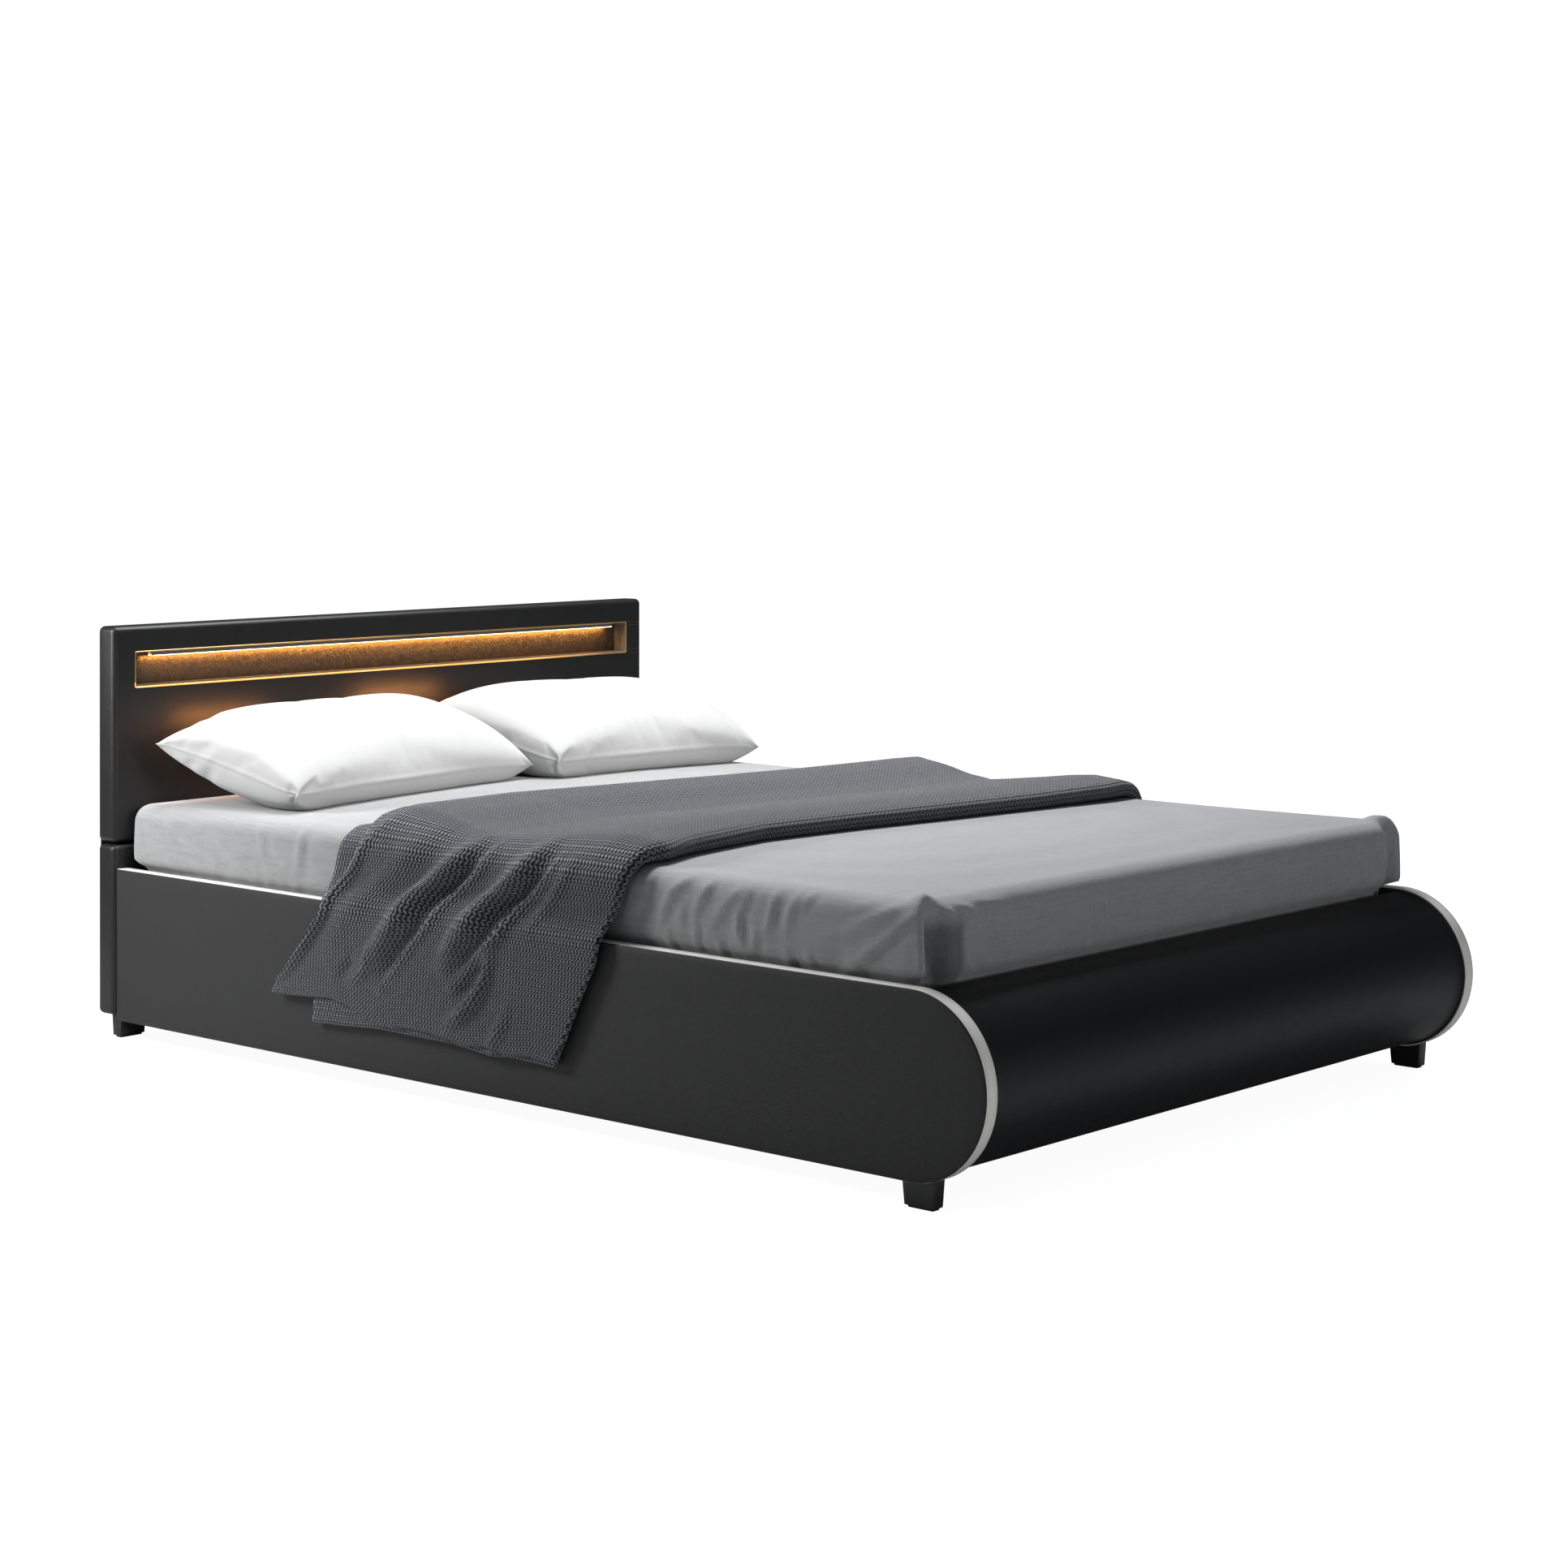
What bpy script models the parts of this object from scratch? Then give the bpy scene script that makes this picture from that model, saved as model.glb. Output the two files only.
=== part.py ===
"""Upholstered storage bed with a roll foot end and a lit slot in its headboard.

Lengths are metres. The head end is at +Y, the foot roll at -Y, and the floor at Z = 0.
Places along the bed are given as distances from the headboard's front face, towards the foot.
"""
import math

import bmesh
import bpy
from mathutils import Vector
from mathutils.bvhtree import BVHTree

for old in list(bpy.data.objects):
    bpy.data.objects.remove(old, do_unlink=True)

# Clearances
TOUCH = 0.0003
RUNNING_GAP = 0.0006
CUT_OVERRUN = 0.004

# Overall bed
MATTRESS_LENGTH = 2.028
MATTRESS_WIDTH = 1.410
MATTRESS_THICKNESS = 0.175
HEAD_GAP = 0.014
FOOT_GAP = 0.0075
MECHANISM_GAP = 0.017
RAIL_THICKNESS = 0.030
RAIL_HEIGHT = 0.303
FRONT_FOOT_HEIGHT = 0.040
HEADBOARD_TOP = 0.828
HEADBOARD_BOTTOM = 0.049
HEADBOARD_THICKNESS = 0.056
HEADBOARD_OVERHANG = 0.0045
UPPER_BLOCK_HEIGHT = 0.433
BLOCK_GAP = 0.004

RAIL_INNER = MATTRESS_WIDTH / 2 + MECHANISM_GAP
RAIL_OUTER = RAIL_INNER + RAIL_THICKNESS
RAIL_BOTTOM = FRONT_FOOT_HEIGHT
RAIL_TOP = RAIL_BOTTOM + RAIL_HEIGHT
ROLL_RADIUS = RAIL_HEIGHT / 2
ROLL_AXIS_Z = RAIL_BOTTOM + ROLL_RADIUS
FOOT_BOARD_FACE = HEAD_GAP + MATTRESS_LENGTH + FOOT_GAP
BED_LENGTH = HEADBOARD_THICKNESS + FOOT_BOARD_FACE + ROLL_RADIUS
HEAD_FACE_Y = BED_LENGTH / 2 - HEADBOARD_THICKNESS
SIDES = (("left", -1), ("right", 1))

# Leatherette side panels: a board, a padded cover on its outer face and an edge band
EDGE_WRAP = 0.003
SIDE_BOARD_THICKNESS = 0.018
COVER_RIM_WIDTH = 0.0033
COVER_SOFT_EDGE = 0.0012
ARC_STEPS = 28

# Foot roll
ROLL_DROP = 0.003
ROLL_SKIN_THICKNESS = 0.012
FOOT_BOARD_THICKNESS = 0.015
RIB_THICKNESS = 0.018
RIB_COUNT = 4

# Box floor, ledges and corner brackets
HEAD_BOARD_THICKNESS = 0.015
HEAD_BOARD_HEIGHT = 0.205
LEDGE_SIZE = 0.020
LEDGE_ROOT = 0.002
FLOOR_PANEL_THICKNESS = 0.005
BEAM_WIDTH = 0.060
LEG_RADIUS = 0.012
LEG_PAD_RADIUS = 0.020
LEG_PAD_HEIGHT = 0.006
LEG_COUNT = 2
BRACKET_THICKNESS = 0.003
BRACKET_REACH = 0.036
BRACKET_HEIGHT = 0.120
BRACKET_BASE = 0.110

# Feet
FOOT_TAPER = 0.004
FRONT_FOOT_WIDTH = 0.025
FRONT_FOOT_LENGTH = 0.059
FRONT_FOOT_FACE = 0.0475
HEAD_FOOT_WIDTH = 0.060
HEAD_FOOT_LENGTH = 0.0245
HEAD_FOOT_SETBACK = 0.0075
HEAD_FOOT_INSET = 0.020
GLIDE_HEIGHT = 0.004
GLIDE_INSET = 0.004
FOOT_SEAT_STEPS = 8

# Headboard
COVER_WALL = 0.008
COVER_ROUNDING = 0.011
COVER_ROUNDING_STEPS = 3
ROUND_PROFILE_SHARE = 0.5
CORE_THICKNESS = 0.027
BACK_PANEL_THICKNESS = 0.003
BACK_RIM = 0.0006
BATTEN_THICKNESS = 0.016
BATTEN_WIDTH = 0.060
BATTEN_SIDE_MARGIN = 0.2765
BATTEN_FOOT_GAP = 0.051
BATTEN_TOP_GAP = 0.044
SLOT_END_MARGIN = 0.0505
SLOT_TOP_MARGIN = 0.051
SLOT_HEIGHT = 0.075
SLOT_FRAME_WALL = 0.003
SLOT_FRAME_STEP = 0.002
SLOT_STEP_DEPTH = 0.020
SLOT_BACK_THICKNESS = 0.004
SLOT_BACK_MARGIN = 0.018
LED_END_GAP = 0.044
LED_PROFILE_WIDTH = 0.012
LED_PROFILE_HEIGHT = 0.008
LED_PROFILE_WALL = 0.0012
LED_PROFILE_SETBACK = 0.003
LED_DIFFUSER_HEIGHT = 0.002
CROSS_RAIL_RISE = 0.035
OUTLET_RADIUS = 0.011
OUTLET_BORE = 0.005
OUTLET_DROP = 0.102

# Lift frame of steel tube with sprung slats
TUBE_HEIGHT = 0.025
TUBE_WIDTH = 0.030
CENTRE_TUBE_WIDTH = 0.040
TUBE_BASE = 0.2555
FRAME_HEAD_GAP = 0.018
FRAME_FOOT_GAP = 0.0195
CROSS_TUBE_SHARES = (0.34, 0.67)
TUBE_WALL = 0.0015
WELD_ROOT = 0.0005
SLAT_COUNT = 13
SLAT_WIDTH = 0.063
SLAT_THICKNESS = 0.008
SLAT_BOW = 0.0065
SLAT_STEPS = 8
SOCKET_DEPTH = 0.026
SOCKET_INSET = 0.002
SOCKET_WALL = 0.0016
HOOP_RADIUS = 0.003
HOOP_HALF_WIDTH = 0.300
HOOP_TOP = 0.330
HOOP_CORNER = 0.030
HOOP_CORNER_STEPS = 5
HOOP_SETBACK = 0.0095

# Lift mechanism: pivots as distance from the headboard and height above the floor
LONG_ARM_BASE = (0.800, 0.085)
LONG_ARM_TOP = (0.396, 0.205)
SHORT_ARM_BASE = (0.567, 0.255)
SHORT_ARM_TOP = (0.336, 0.285)
SHORT_ARM_HOLE_OFFSET = (0.0002, 0.0006)
STRUT_BASE = (0.5045, 0.085)
STRUT_TOP = (0.3038, 0.225)
STRUT_HOLE_OFFSET = (0.0012, -0.0003)
PLATE_THICKNESS = 0.003
ARM_THICKNESS = 0.004
LONG_ARM_WIDTH = 0.030
SHORT_ARM_WIDTH = 0.026
BRACKET_MARGIN = 0.011
PIN_RADIUS = 0.005
PIN_HEAD_RADIUS = 0.009
PIN_HEAD_HEIGHT = 0.002
OPEN_PIVOT_CLEARANCE = 0.0012
STRUT_PIN_RADIUS = 0.004
STRUT_CLEARANCE = 0.0016
CYLINDER_RADIUS = 0.011
CYLINDER_WALL = 0.0015
CYLINDER_NECK = 0.004
GLAND_LENGTH = 0.012
ROD_RADIUS = 0.004
ROD_SHOWING = 0.016
ROD_INSIDE = 0.115
EYE_RADIUS = 0.0095
EYE_THICKNESS = 0.008
ROUND_SIDES = 16

# Mattress form
MATTRESS_CORNER = 0.050
MATTRESS_SHOULDER = 0.045
MATTRESS_CROWN = 0.006
MATTRESS_BULGE = 0.004
CORNER_POINTS = 5
SIDE_POINTS = 5
MATTRESS_FULLEST_SHARE = 0.55
# Rings below and above the fullest one: shares of the shoulder in height and inset, and of the bulge
MATTRESS_LOW_SHARES = ((0.0, 0.60, 0.0), (0.12, 0.22, 0.0), (0.55, 0.0, 0.40))
MATTRESS_HIGH_SHARES = ((0.90, 0.0, 0.50), (0.42, 0.10, 0.20), (0.12, 0.42, 0.0), (0.0, 1.0, 0.0))
# Rings of the crown: shares of its rise and of the mattress's half width
MATTRESS_CROWN_SHARES = ((0.45, 0.20), (0.80, 0.45), (1.0, 0.75))

# Pillows: corners near outer, near inner, far inner and far outer, as (side place, distance, rise)
PILLOW_TOP = 0.100
PILLOW_UNDER = 0.080
PILLOW_DRAW_SHARE = 0.050
PILLOW_FULLNESS_SHARE = 0.42
PILLOW_COLUMNS = 20
PILLOW_ROWS = 12
PILLOW_REST_GAP = 0.0008
PILLOW_CORNERS = {
    "left": ((-0.632, 0.426, 0.020), (0.098, 0.300, 0.028), (0.058, 0.052, 0.120), (-0.712, 0.088, 0.122)),
    "right": ((0.708, 0.405, 0.030), (0.128, 0.375, 0.020), (0.086, 0.052, 0.128), (0.690, 0.070, 0.112)),
}

# Knitted throw, laid double across the bed and hanging over both sides
THROW_THICKNESS = 0.010
THROW_REST_GAP = 0.0008
THROW_OFF_MATTRESS = 0.006
THROW_OFF_RAIL = 0.004
THROW_FOLD_DEPTH = 0.014
THROW_FOLD_PITCH = 0.190
THROW_SLANT_SHARE = 0.80
THROW_LOFT = 0.034
THROW_LOFT_SHARES = (0.20, 0.80, 1.00, 0.62, 0.30, 0.24, 0.30, 0.42, 0.56, 0.66, 0.52, 0.10)
THROW_ACROSS = 17
# Path from the middle of the bed outwards: shares of the half width on top, of the shoulder and of the
# clearance over the edge, of the clearance over the rail, and of the rail's height down its side
THROW_TOP_SHARES = (0.0, 0.30, 0.60, 0.82)
THROW_EDGE_SHARES = ((-1.0, 0.0, 0.0), (-0.30, 0.0, 0.12), (0.0, 0.60, 0.60), (0.0, 1.50, 1.60))
THROW_DIP_SHARE = 0.90
THROW_RAIL_IN_SHARE = 1.40
THROW_RAIL_RISE_SHARE = 2.20
THROW_RAIL_DROP_SHARE = 0.60
THROW_SIDE_SHARES = (0.16, 0.34, 0.52)
THROW_LEFT_HEM = 0.122
THROW_RIGHT_HEM = 0.150
THROW_HEM_RISE = 0.036
THROW_HEAD_EDGE_SHARES = (0.267, 0.284, 0.298, 0.322, 0.345, 0.366, 0.385, 0.395, 0.398, 0.398)
THROW_FOOT_EDGE_SHARES = (0.630, 0.686, 0.672, 0.672, 0.684, 0.700, 0.712, 0.716, 0.704, 0.690)

# Colour, roughness and metallic value of each finish
LOOKS = {
    "black_leatherette": ((0.020, 0.021, 0.024), 0.42, 0.0),
    "charcoal_leatherette": ((0.045, 0.045, 0.046), 0.60, 0.0),
    "band_leatherette": ((0.72, 0.70, 0.66), 0.50, 0.0),
    "chipboard": ((0.42, 0.31, 0.20), 0.80, 0.0),
    "dark_board": ((0.055, 0.055, 0.058), 0.75, 0.0),
    "beech": ((0.62, 0.46, 0.29), 0.55, 0.0),
    "black_steel": ((0.030, 0.030, 0.032), 0.40, 0.6),
    "zinc_steel": ((0.62, 0.63, 0.65), 0.35, 1.0),
    "bright_rod": ((0.80, 0.81, 0.83), 0.15, 1.0),
    "black_plastic": ((0.025, 0.025, 0.025), 0.50, 0.0),
    "aluminium": ((0.78, 0.78, 0.79), 0.35, 1.0),
    "diffuser": ((1.00, 0.83, 0.50), 0.30, 0.0),
    "grey_sheet": ((0.50, 0.51, 0.51), 0.85, 0.0),
    "white_cotton": ((0.86, 0.85, 0.83), 0.85, 0.0),
    "blue_grey_knit": ((0.085, 0.092, 0.112), 0.95, 0.0),
}


def y_at(from_head):
    """The Y of a place that lies a distance from the headboard's front face."""
    return HEAD_FACE_Y - from_head


def at(x, spot):
    """A point from its X and its (distance from the headboard, height)."""
    return Vector((x, y_at(spot[0]), spot[1]))


# Making objects

def own_material(obj, look):
    colour, roughness, metallic = LOOKS[look]
    material = bpy.data.materials.new(obj.name + "_" + look)
    material.use_nodes = True
    shader = material.node_tree.nodes["Principled BSDF"]
    shader.inputs["Base Color"].default_value = (*colour, 1.0)
    shader.inputs["Roughness"].default_value = roughness
    shader.inputs["Metallic"].default_value = metallic
    material.diffuse_color = (*colour, 1.0)
    obj.data.materials.append(material)


def link(name, bm, pivot=None, carrier=None):
    """Turn a bmesh in world coordinates into an object whose origin is its pivot."""
    pivot = Vector(pivot) if pivot else Vector()
    bmesh.ops.recalc_face_normals(bm, faces=bm.faces)
    if bm.calc_volume(signed=True) < 0:
        bmesh.ops.reverse_faces(bm, faces=bm.faces)
    bmesh.ops.translate(bm, verts=bm.verts, vec=-pivot)
    mesh = bpy.data.meshes.new(name)
    bm.to_mesh(mesh)
    bm.free()
    obj = bpy.data.objects.new(name, mesh)
    bpy.context.scene.collection.objects.link(obj)
    obj.location = pivot
    if carrier:
        obj.parent = carrier
        obj.location = pivot - carrier.location
    return obj


def piece(name, bm, look, pivot=None, carrier=None, smooth_angle=0.0):
    obj = link(name, bm, pivot, carrier)
    own_material(obj, look)
    if smooth_angle:
        obj.data.shade_smooth()
        obj.data.set_sharp_from_angle(angle=smooth_angle)
    return obj


def helper(name, bm):
    """A cutter or a stud that only serves a Boolean."""
    obj = link(name, bm)
    obj.hide_render = True
    obj.display_type = "WIRE"
    return obj


def empty(name, place):
    obj = bpy.data.objects.new(name, None)
    bpy.context.scene.collection.objects.link(obj)
    obj.location = place
    return obj


def combine(obj, other, operation):
    step = obj.modifiers.new(operation.lower() + "_" + other.name, "BOOLEAN")
    step.operation = operation
    step.solver = "EXACT"
    step.object = other


# Making shapes

def add_box(bm, low, high):
    low, high = Vector(low), Vector(high)
    cube = bmesh.ops.create_cube(bm, size=1.0)["verts"]
    bmesh.ops.scale(bm, verts=cube, vec=high - low)
    bmesh.ops.translate(bm, verts=cube, vec=(low + high) / 2)
    return cube


def box(low, high, rounding=0.0, steps=2):
    bm = bmesh.new()
    add_box(bm, low, high)
    if rounding:
        bmesh.ops.bevel(bm, geom=bm.edges[:], offset=rounding, segments=steps,
                          profile=ROUND_PROFILE_SHARE, affect="EDGES")
    return bm


def boxes(spans):
    bm = bmesh.new()
    for low, high in spans:
        add_box(bm, low, high)
    return bm


def add_loft(bm, rings):
    """Skin a stack of closed rings and cap both ends."""
    loops = [[bm.verts.new(point) for point in ring] for ring in rings]
    for lower, upper in zip(loops, loops[1:]):
        for i in range(len(lower)):
            j = (i + 1) % len(lower)
            bm.faces.new((lower[i], lower[j], upper[j], upper[i]))
    bm.faces.new(loops[0][::-1])
    bm.faces.new(loops[-1])


def loft(rings):
    bm = bmesh.new()
    add_loft(bm, rings)
    return bm


def add_prism(bm, outline, x_low, x_high):
    """Extrude an outline of (distance from head, height) spots along X."""
    add_loft(bm, [[at(x, spot) for spot in outline] for x in (x_low, x_high)])


def prism(outline, x_low, x_high):
    bm = bmesh.new()
    add_prism(bm, outline, x_low, x_high)
    return bm


def arc(centre, radius, start, end, steps):
    """Spots on an arc; angles run from the foot direction upwards."""
    turn = (end - start) / steps
    return [
        (centre[0] + radius * math.cos(start + turn * i), centre[1] + radius * math.sin(start + turn * i))
        for i in range(steps + 1)
    ]


def bar_outline(first, second, width):
    """A flat bar with round ends about two pivots."""
    angle = math.atan2(second[1] - first[1], second[0] - first[0])
    half_turn = math.pi
    right = angle - half_turn / 2
    sides = ROUND_SIDES // 2
    return arc(second, width / 2, right, right + half_turn, sides) + arc(
        first, width / 2, right + half_turn, right + half_turn + half_turn, sides
    )


def hull_outline(spots, margin):
    """The outline round a set of pivots, kept a margin away from each."""
    count = ROUND_SIDES
    cloud = []
    for spot in spots:
        cloud += arc(spot, margin, 0.0, 2 * math.pi * (count - 1) / count, count - 1)
    cloud = sorted(set((round(a, 9), round(b, 9)) for a, b in cloud))

    def half(points):
        chain = []
        for p in points:
            while len(chain) > 1:
                (ax, ay), (bx, by) = chain[-2], chain[-1]
                if (bx - ax) * (p[1] - ay) - (by - ay) * (p[0] - ax) > 0:
                    break
                chain.pop()
            chain.append(p)
        return chain[:-1]

    return half(cloud) + half(cloud[::-1])


def add_turned(bm, profile, start, axis):
    """Revolve (radius, distance) pairs about an axis; zero radius closes an end."""
    axis = Vector(axis)
    helper_axis = Vector((0, 0, 1)) if abs(axis.z) < abs(axis.x) + abs(axis.y) else Vector((1, 0, 0))
    across = axis.cross(helper_axis).normalized()
    other = axis.cross(across)
    start = Vector(start)
    rings = []
    for radius, distance in profile:
        middle = start + axis * distance
        if not radius:
            rings.append([bm.verts.new(middle)])
            continue
        ring = []
        for i in range(ROUND_SIDES):
            angle = 2 * math.pi * i / ROUND_SIDES
            ring.append(bm.verts.new(middle + radius * (across * math.cos(angle) + other * math.sin(angle))))
        rings.append(ring)
    for lower, upper in zip(rings, rings[1:]):
        for i in range(ROUND_SIDES):
            j = (i + 1) % ROUND_SIDES
            corners = [lower[i % len(lower)], lower[j % len(lower)],
                       upper[j % len(upper)], upper[i % len(upper)]]
            bm.faces.new(list(dict.fromkeys(corners)))


def turned(profile, start, axis):
    bm = bmesh.new()
    add_turned(bm, profile, start, axis)
    return bm


def rod_profile(radius, length):
    return [(0, 0), (radius, 0), (radius, length), (0, length)]


# Headboard: two upholstered blocks on battens, with a lit slot in the upper one

HEADBOARD_HALF = RAIL_OUTER + HEADBOARD_OVERHANG
UPPER_BASE = HEADBOARD_TOP - UPPER_BLOCK_HEIGHT
LOWER_TOP = UPPER_BASE - BLOCK_GAP
CORE_BACK = COVER_WALL + CORE_THICKNESS
SLOT_HALF_LENGTH = HEADBOARD_HALF - SLOT_END_MARGIN
SLOT_HIGH = HEADBOARD_TOP - SLOT_TOP_MARGIN
SLOT_LOW = SLOT_HIGH - SLOT_HEIGHT


def behind(depth):
    """The Y of a depth measured back from the headboard's front face."""
    return HEAD_FACE_Y + depth


def headboard_block(label, low, high):
    """A padded cover open at the back, and the board that it is stretched over."""
    half = HEADBOARD_HALF
    cover = piece(
        "headboard_" + label + "_cover",
        box((-half, behind(0), low), (half, behind(HEADBOARD_THICKNESS), high), COVER_ROUNDING,
            COVER_ROUNDING_STEPS),
        "black_leatherette", smooth_angle=math.radians(40),
    )
    inner = half - COVER_WALL
    pocket = helper(
        "pocket_" + label,
        box((-inner, behind(COVER_WALL), low + COVER_WALL),
            (inner, behind(HEADBOARD_THICKNESS + CUT_OVERRUN), high - COVER_WALL)),
    )
    combine(cover, pocket, "DIFFERENCE")
    side = inner - TOUCH
    core = piece(
        "headboard_" + label + "_core",
        box((-side, behind(COVER_WALL + TOUCH), low + COVER_WALL + TOUCH),
            (side, behind(CORE_BACK), high - COVER_WALL - TOUCH)),
        "chipboard",
    )
    return cover, core


upper_cover, upper_core = headboard_block("upper", UPPER_BASE, HEADBOARD_TOP)
lower_cover, _ = headboard_block("lower", HEADBOARD_BOTTOM, LOWER_TOP)

slot_cut = helper(
    "slot_cut",
    box((-SLOT_HALF_LENGTH, behind(-CUT_OVERRUN), SLOT_LOW),
        (SLOT_HALF_LENGTH, behind(CORE_BACK + CUT_OVERRUN), SLOT_HIGH)),
)
combine(upper_cover, slot_cut, "DIFFERENCE")
combine(upper_core, slot_cut, "DIFFERENCE")

SLOT_PANEL_FRONT = CORE_BACK + TOUCH
piece(
    "slot_back_panel",
    box((-SLOT_HALF_LENGTH - SLOT_BACK_MARGIN, behind(SLOT_PANEL_FRONT), SLOT_LOW - SLOT_BACK_MARGIN),
        (SLOT_HALF_LENGTH + SLOT_BACK_MARGIN, behind(SLOT_PANEL_FRONT + SLOT_BACK_THICKNESS),
         SLOT_HIGH + SLOT_BACK_MARGIN)),
    "black_leatherette",
)


def slot_ring(depth, inset):
    """The slot's outline, drawn in by an inset, at a depth behind the front face."""
    half, low, high = SLOT_HALF_LENGTH - inset, SLOT_LOW + inset, SLOT_HIGH - inset
    y = behind(depth)
    return [(-half, y, low), (half, y, low), (half, y, high), (-half, y, high)]


def slot_frame_mesh():
    """A lining with a shallow step part way in, built as one closed ring of section."""
    bm = bmesh.new()
    thin = TOUCH + SLOT_FRAME_WALL
    thick = thin + SLOT_FRAME_STEP
    deep = CORE_BACK
    section = [(0.0, TOUCH), (0.0, thin), (SLOT_STEP_DEPTH, thin), (SLOT_STEP_DEPTH, thick),
               (deep, thick), (deep, TOUCH)]
    loops = [[bm.verts.new(p) for p in slot_ring(depth, inset)] for depth, inset in section]
    for here, after in zip(loops, loops[1:] + loops[:1]):
        for i in range(len(here)):
            j = (i + 1) % len(here)
            bm.faces.new((here[i], here[j], after[j], after[i]))
    return bm


piece("slot_frame", slot_frame_mesh(), "black_plastic")

LED_HALF = SLOT_HALF_LENGTH - LED_END_GAP
LED_TOP = SLOT_HIGH - SLOT_FRAME_WALL - 2 * TOUCH
LED_BASE = LED_TOP - LED_PROFILE_HEIGHT
LED_FRONT = LED_PROFILE_SETBACK
LED_BACK = LED_FRONT + LED_PROFILE_WIDTH


def across_prism(section, half):
    """Extrude a section of (depth behind the front, height) from side to side."""
    return loft([[(x, behind(depth), z) for depth, z in section] for x in (-half, half)])


channel = [
    (LED_FRONT, LED_BASE), (LED_FRONT, LED_TOP), (LED_BACK, LED_TOP), (LED_BACK, LED_BASE),
    (LED_BACK - LED_PROFILE_WALL, LED_BASE), (LED_BACK - LED_PROFILE_WALL, LED_TOP - LED_PROFILE_WALL),
    (LED_FRONT + LED_PROFILE_WALL, LED_TOP - LED_PROFILE_WALL), (LED_FRONT + LED_PROFILE_WALL, LED_BASE),
]
piece("led_profile", across_prism(channel, LED_HALF), "aluminium")
piece(
    "led_diffuser",
    box((-LED_HALF, behind(LED_FRONT + LED_PROFILE_WALL + TOUCH), LED_BASE),
        (LED_HALF, behind(LED_BACK - LED_PROFILE_WALL - TOUCH), LED_BASE + LED_DIFFUSER_HEIGHT)),
    "diffuser",
)

# Timber frame that joins the two blocks: two uprights and a cross rail let into them
BATTEN_FRONT = CORE_BACK + TOUCH
BATTEN_BACK = BATTEN_FRONT + BATTEN_THICKNESS
BATTEN_OFFSET = HEADBOARD_HALF - BATTEN_SIDE_MARGIN
BATTEN_LOW = HEADBOARD_BOTTOM + BATTEN_FOOT_GAP
BATTEN_HIGH = SLOT_LOW - SLOT_BACK_MARGIN - BATTEN_TOP_GAP
CROSS_RAIL_LOW = UPPER_BASE + CROSS_RAIL_RISE


def upright_spans(margin, low, high):
    half = BATTEN_WIDTH / 2 + margin
    return [
        ((side * BATTEN_OFFSET - half, behind(BATTEN_FRONT - margin), low),
         (side * BATTEN_OFFSET + half, behind(BATTEN_BACK + margin), high))
        for _, side in SIDES
    ]


headboard_frame = piece(
    "headboard_frame",
    box((-BATTEN_OFFSET, behind(BATTEN_FRONT), CROSS_RAIL_LOW),
        (BATTEN_OFFSET, behind(BATTEN_BACK), CROSS_RAIL_LOW + BATTEN_WIDTH)),
    "beech",
)
combine(headboard_frame, helper("frame_uprights", boxes(upright_spans(0, BATTEN_LOW, BATTEN_HIGH))), "UNION")
passages = helper(
    "upright_passages",
    boxes(upright_spans(TOUCH, LOWER_TOP - COVER_WALL - CUT_OVERRUN, UPPER_BASE + COVER_WALL + CUT_OVERRUN)),
)
combine(upper_cover, passages, "DIFFERENCE")
combine(lower_cover, passages, "DIFFERENCE")

# One dust panel closes both blocks, so nothing shows through the joint between them
PANEL_BACK = HEADBOARD_THICKNESS - BACK_RIM
PANEL_FRONT = PANEL_BACK - BACK_PANEL_THICKNESS
panel_side = HEADBOARD_HALF - COVER_WALL - TOUCH
headboard_back = piece(
    "headboard_back",
    box((-panel_side, behind(PANEL_FRONT), HEADBOARD_BOTTOM + COVER_WALL + TOUCH),
        (panel_side, behind(PANEL_BACK), HEADBOARD_TOP - COVER_WALL - TOUCH)),
    "dark_board",
)
panel_seat = helper(
    "panel_seat",
    box((-panel_side - TOUCH, behind(PANEL_FRONT - TOUCH), LOWER_TOP - COVER_WALL - CUT_OVERRUN),
        (panel_side + TOUCH, behind(HEADBOARD_THICKNESS + CUT_OVERRUN),
         UPPER_BASE + COVER_WALL + CUT_OVERRUN)),
)
combine(upper_cover, panel_seat, "DIFFERENCE")
combine(lower_cover, panel_seat, "DIFFERENCE")

# Raised outlet for the light's cable, moulded on the dust panel and bored through it
OUTLET_HEIGHT = SLOT_LOW - OUTLET_DROP
outlet_start = (0, behind(PANEL_FRONT + BACK_PANEL_THICKNESS / 2), OUTLET_HEIGHT)
outlet_length = BACK_PANEL_THICKNESS / 2 + BACK_RIM
combine(headboard_back,
        helper("outlet_rim",
               turned(rod_profile(OUTLET_RADIUS, outlet_length), outlet_start, (0, 1, 0))), "UNION")
combine(headboard_back,
        helper("outlet_bore", turned(rod_profile(OUTLET_BORE, BACK_PANEL_THICKNESS + 2 * CUT_OVERRUN),
                                     (0, behind(PANEL_FRONT - CUT_OVERRUN), OUTLET_HEIGHT), (0, 1, 0))),
        "DIFFERENCE")


# Side panels with a round foot end

def side_outline(inset):
    """The panel's outline: straight from the headboard, round over the roll, straight back."""
    radius = ROLL_RADIUS - inset
    centre = (FOOT_BOARD_FACE, ROLL_AXIS_Z)
    head = TOUCH
    return [(head, ROLL_AXIS_Z + radius)] + arc(
        centre, radius, math.pi / 2, -math.pi / 2, ARC_STEPS
    ) + [(head, ROLL_AXIS_Z - radius)]


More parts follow.
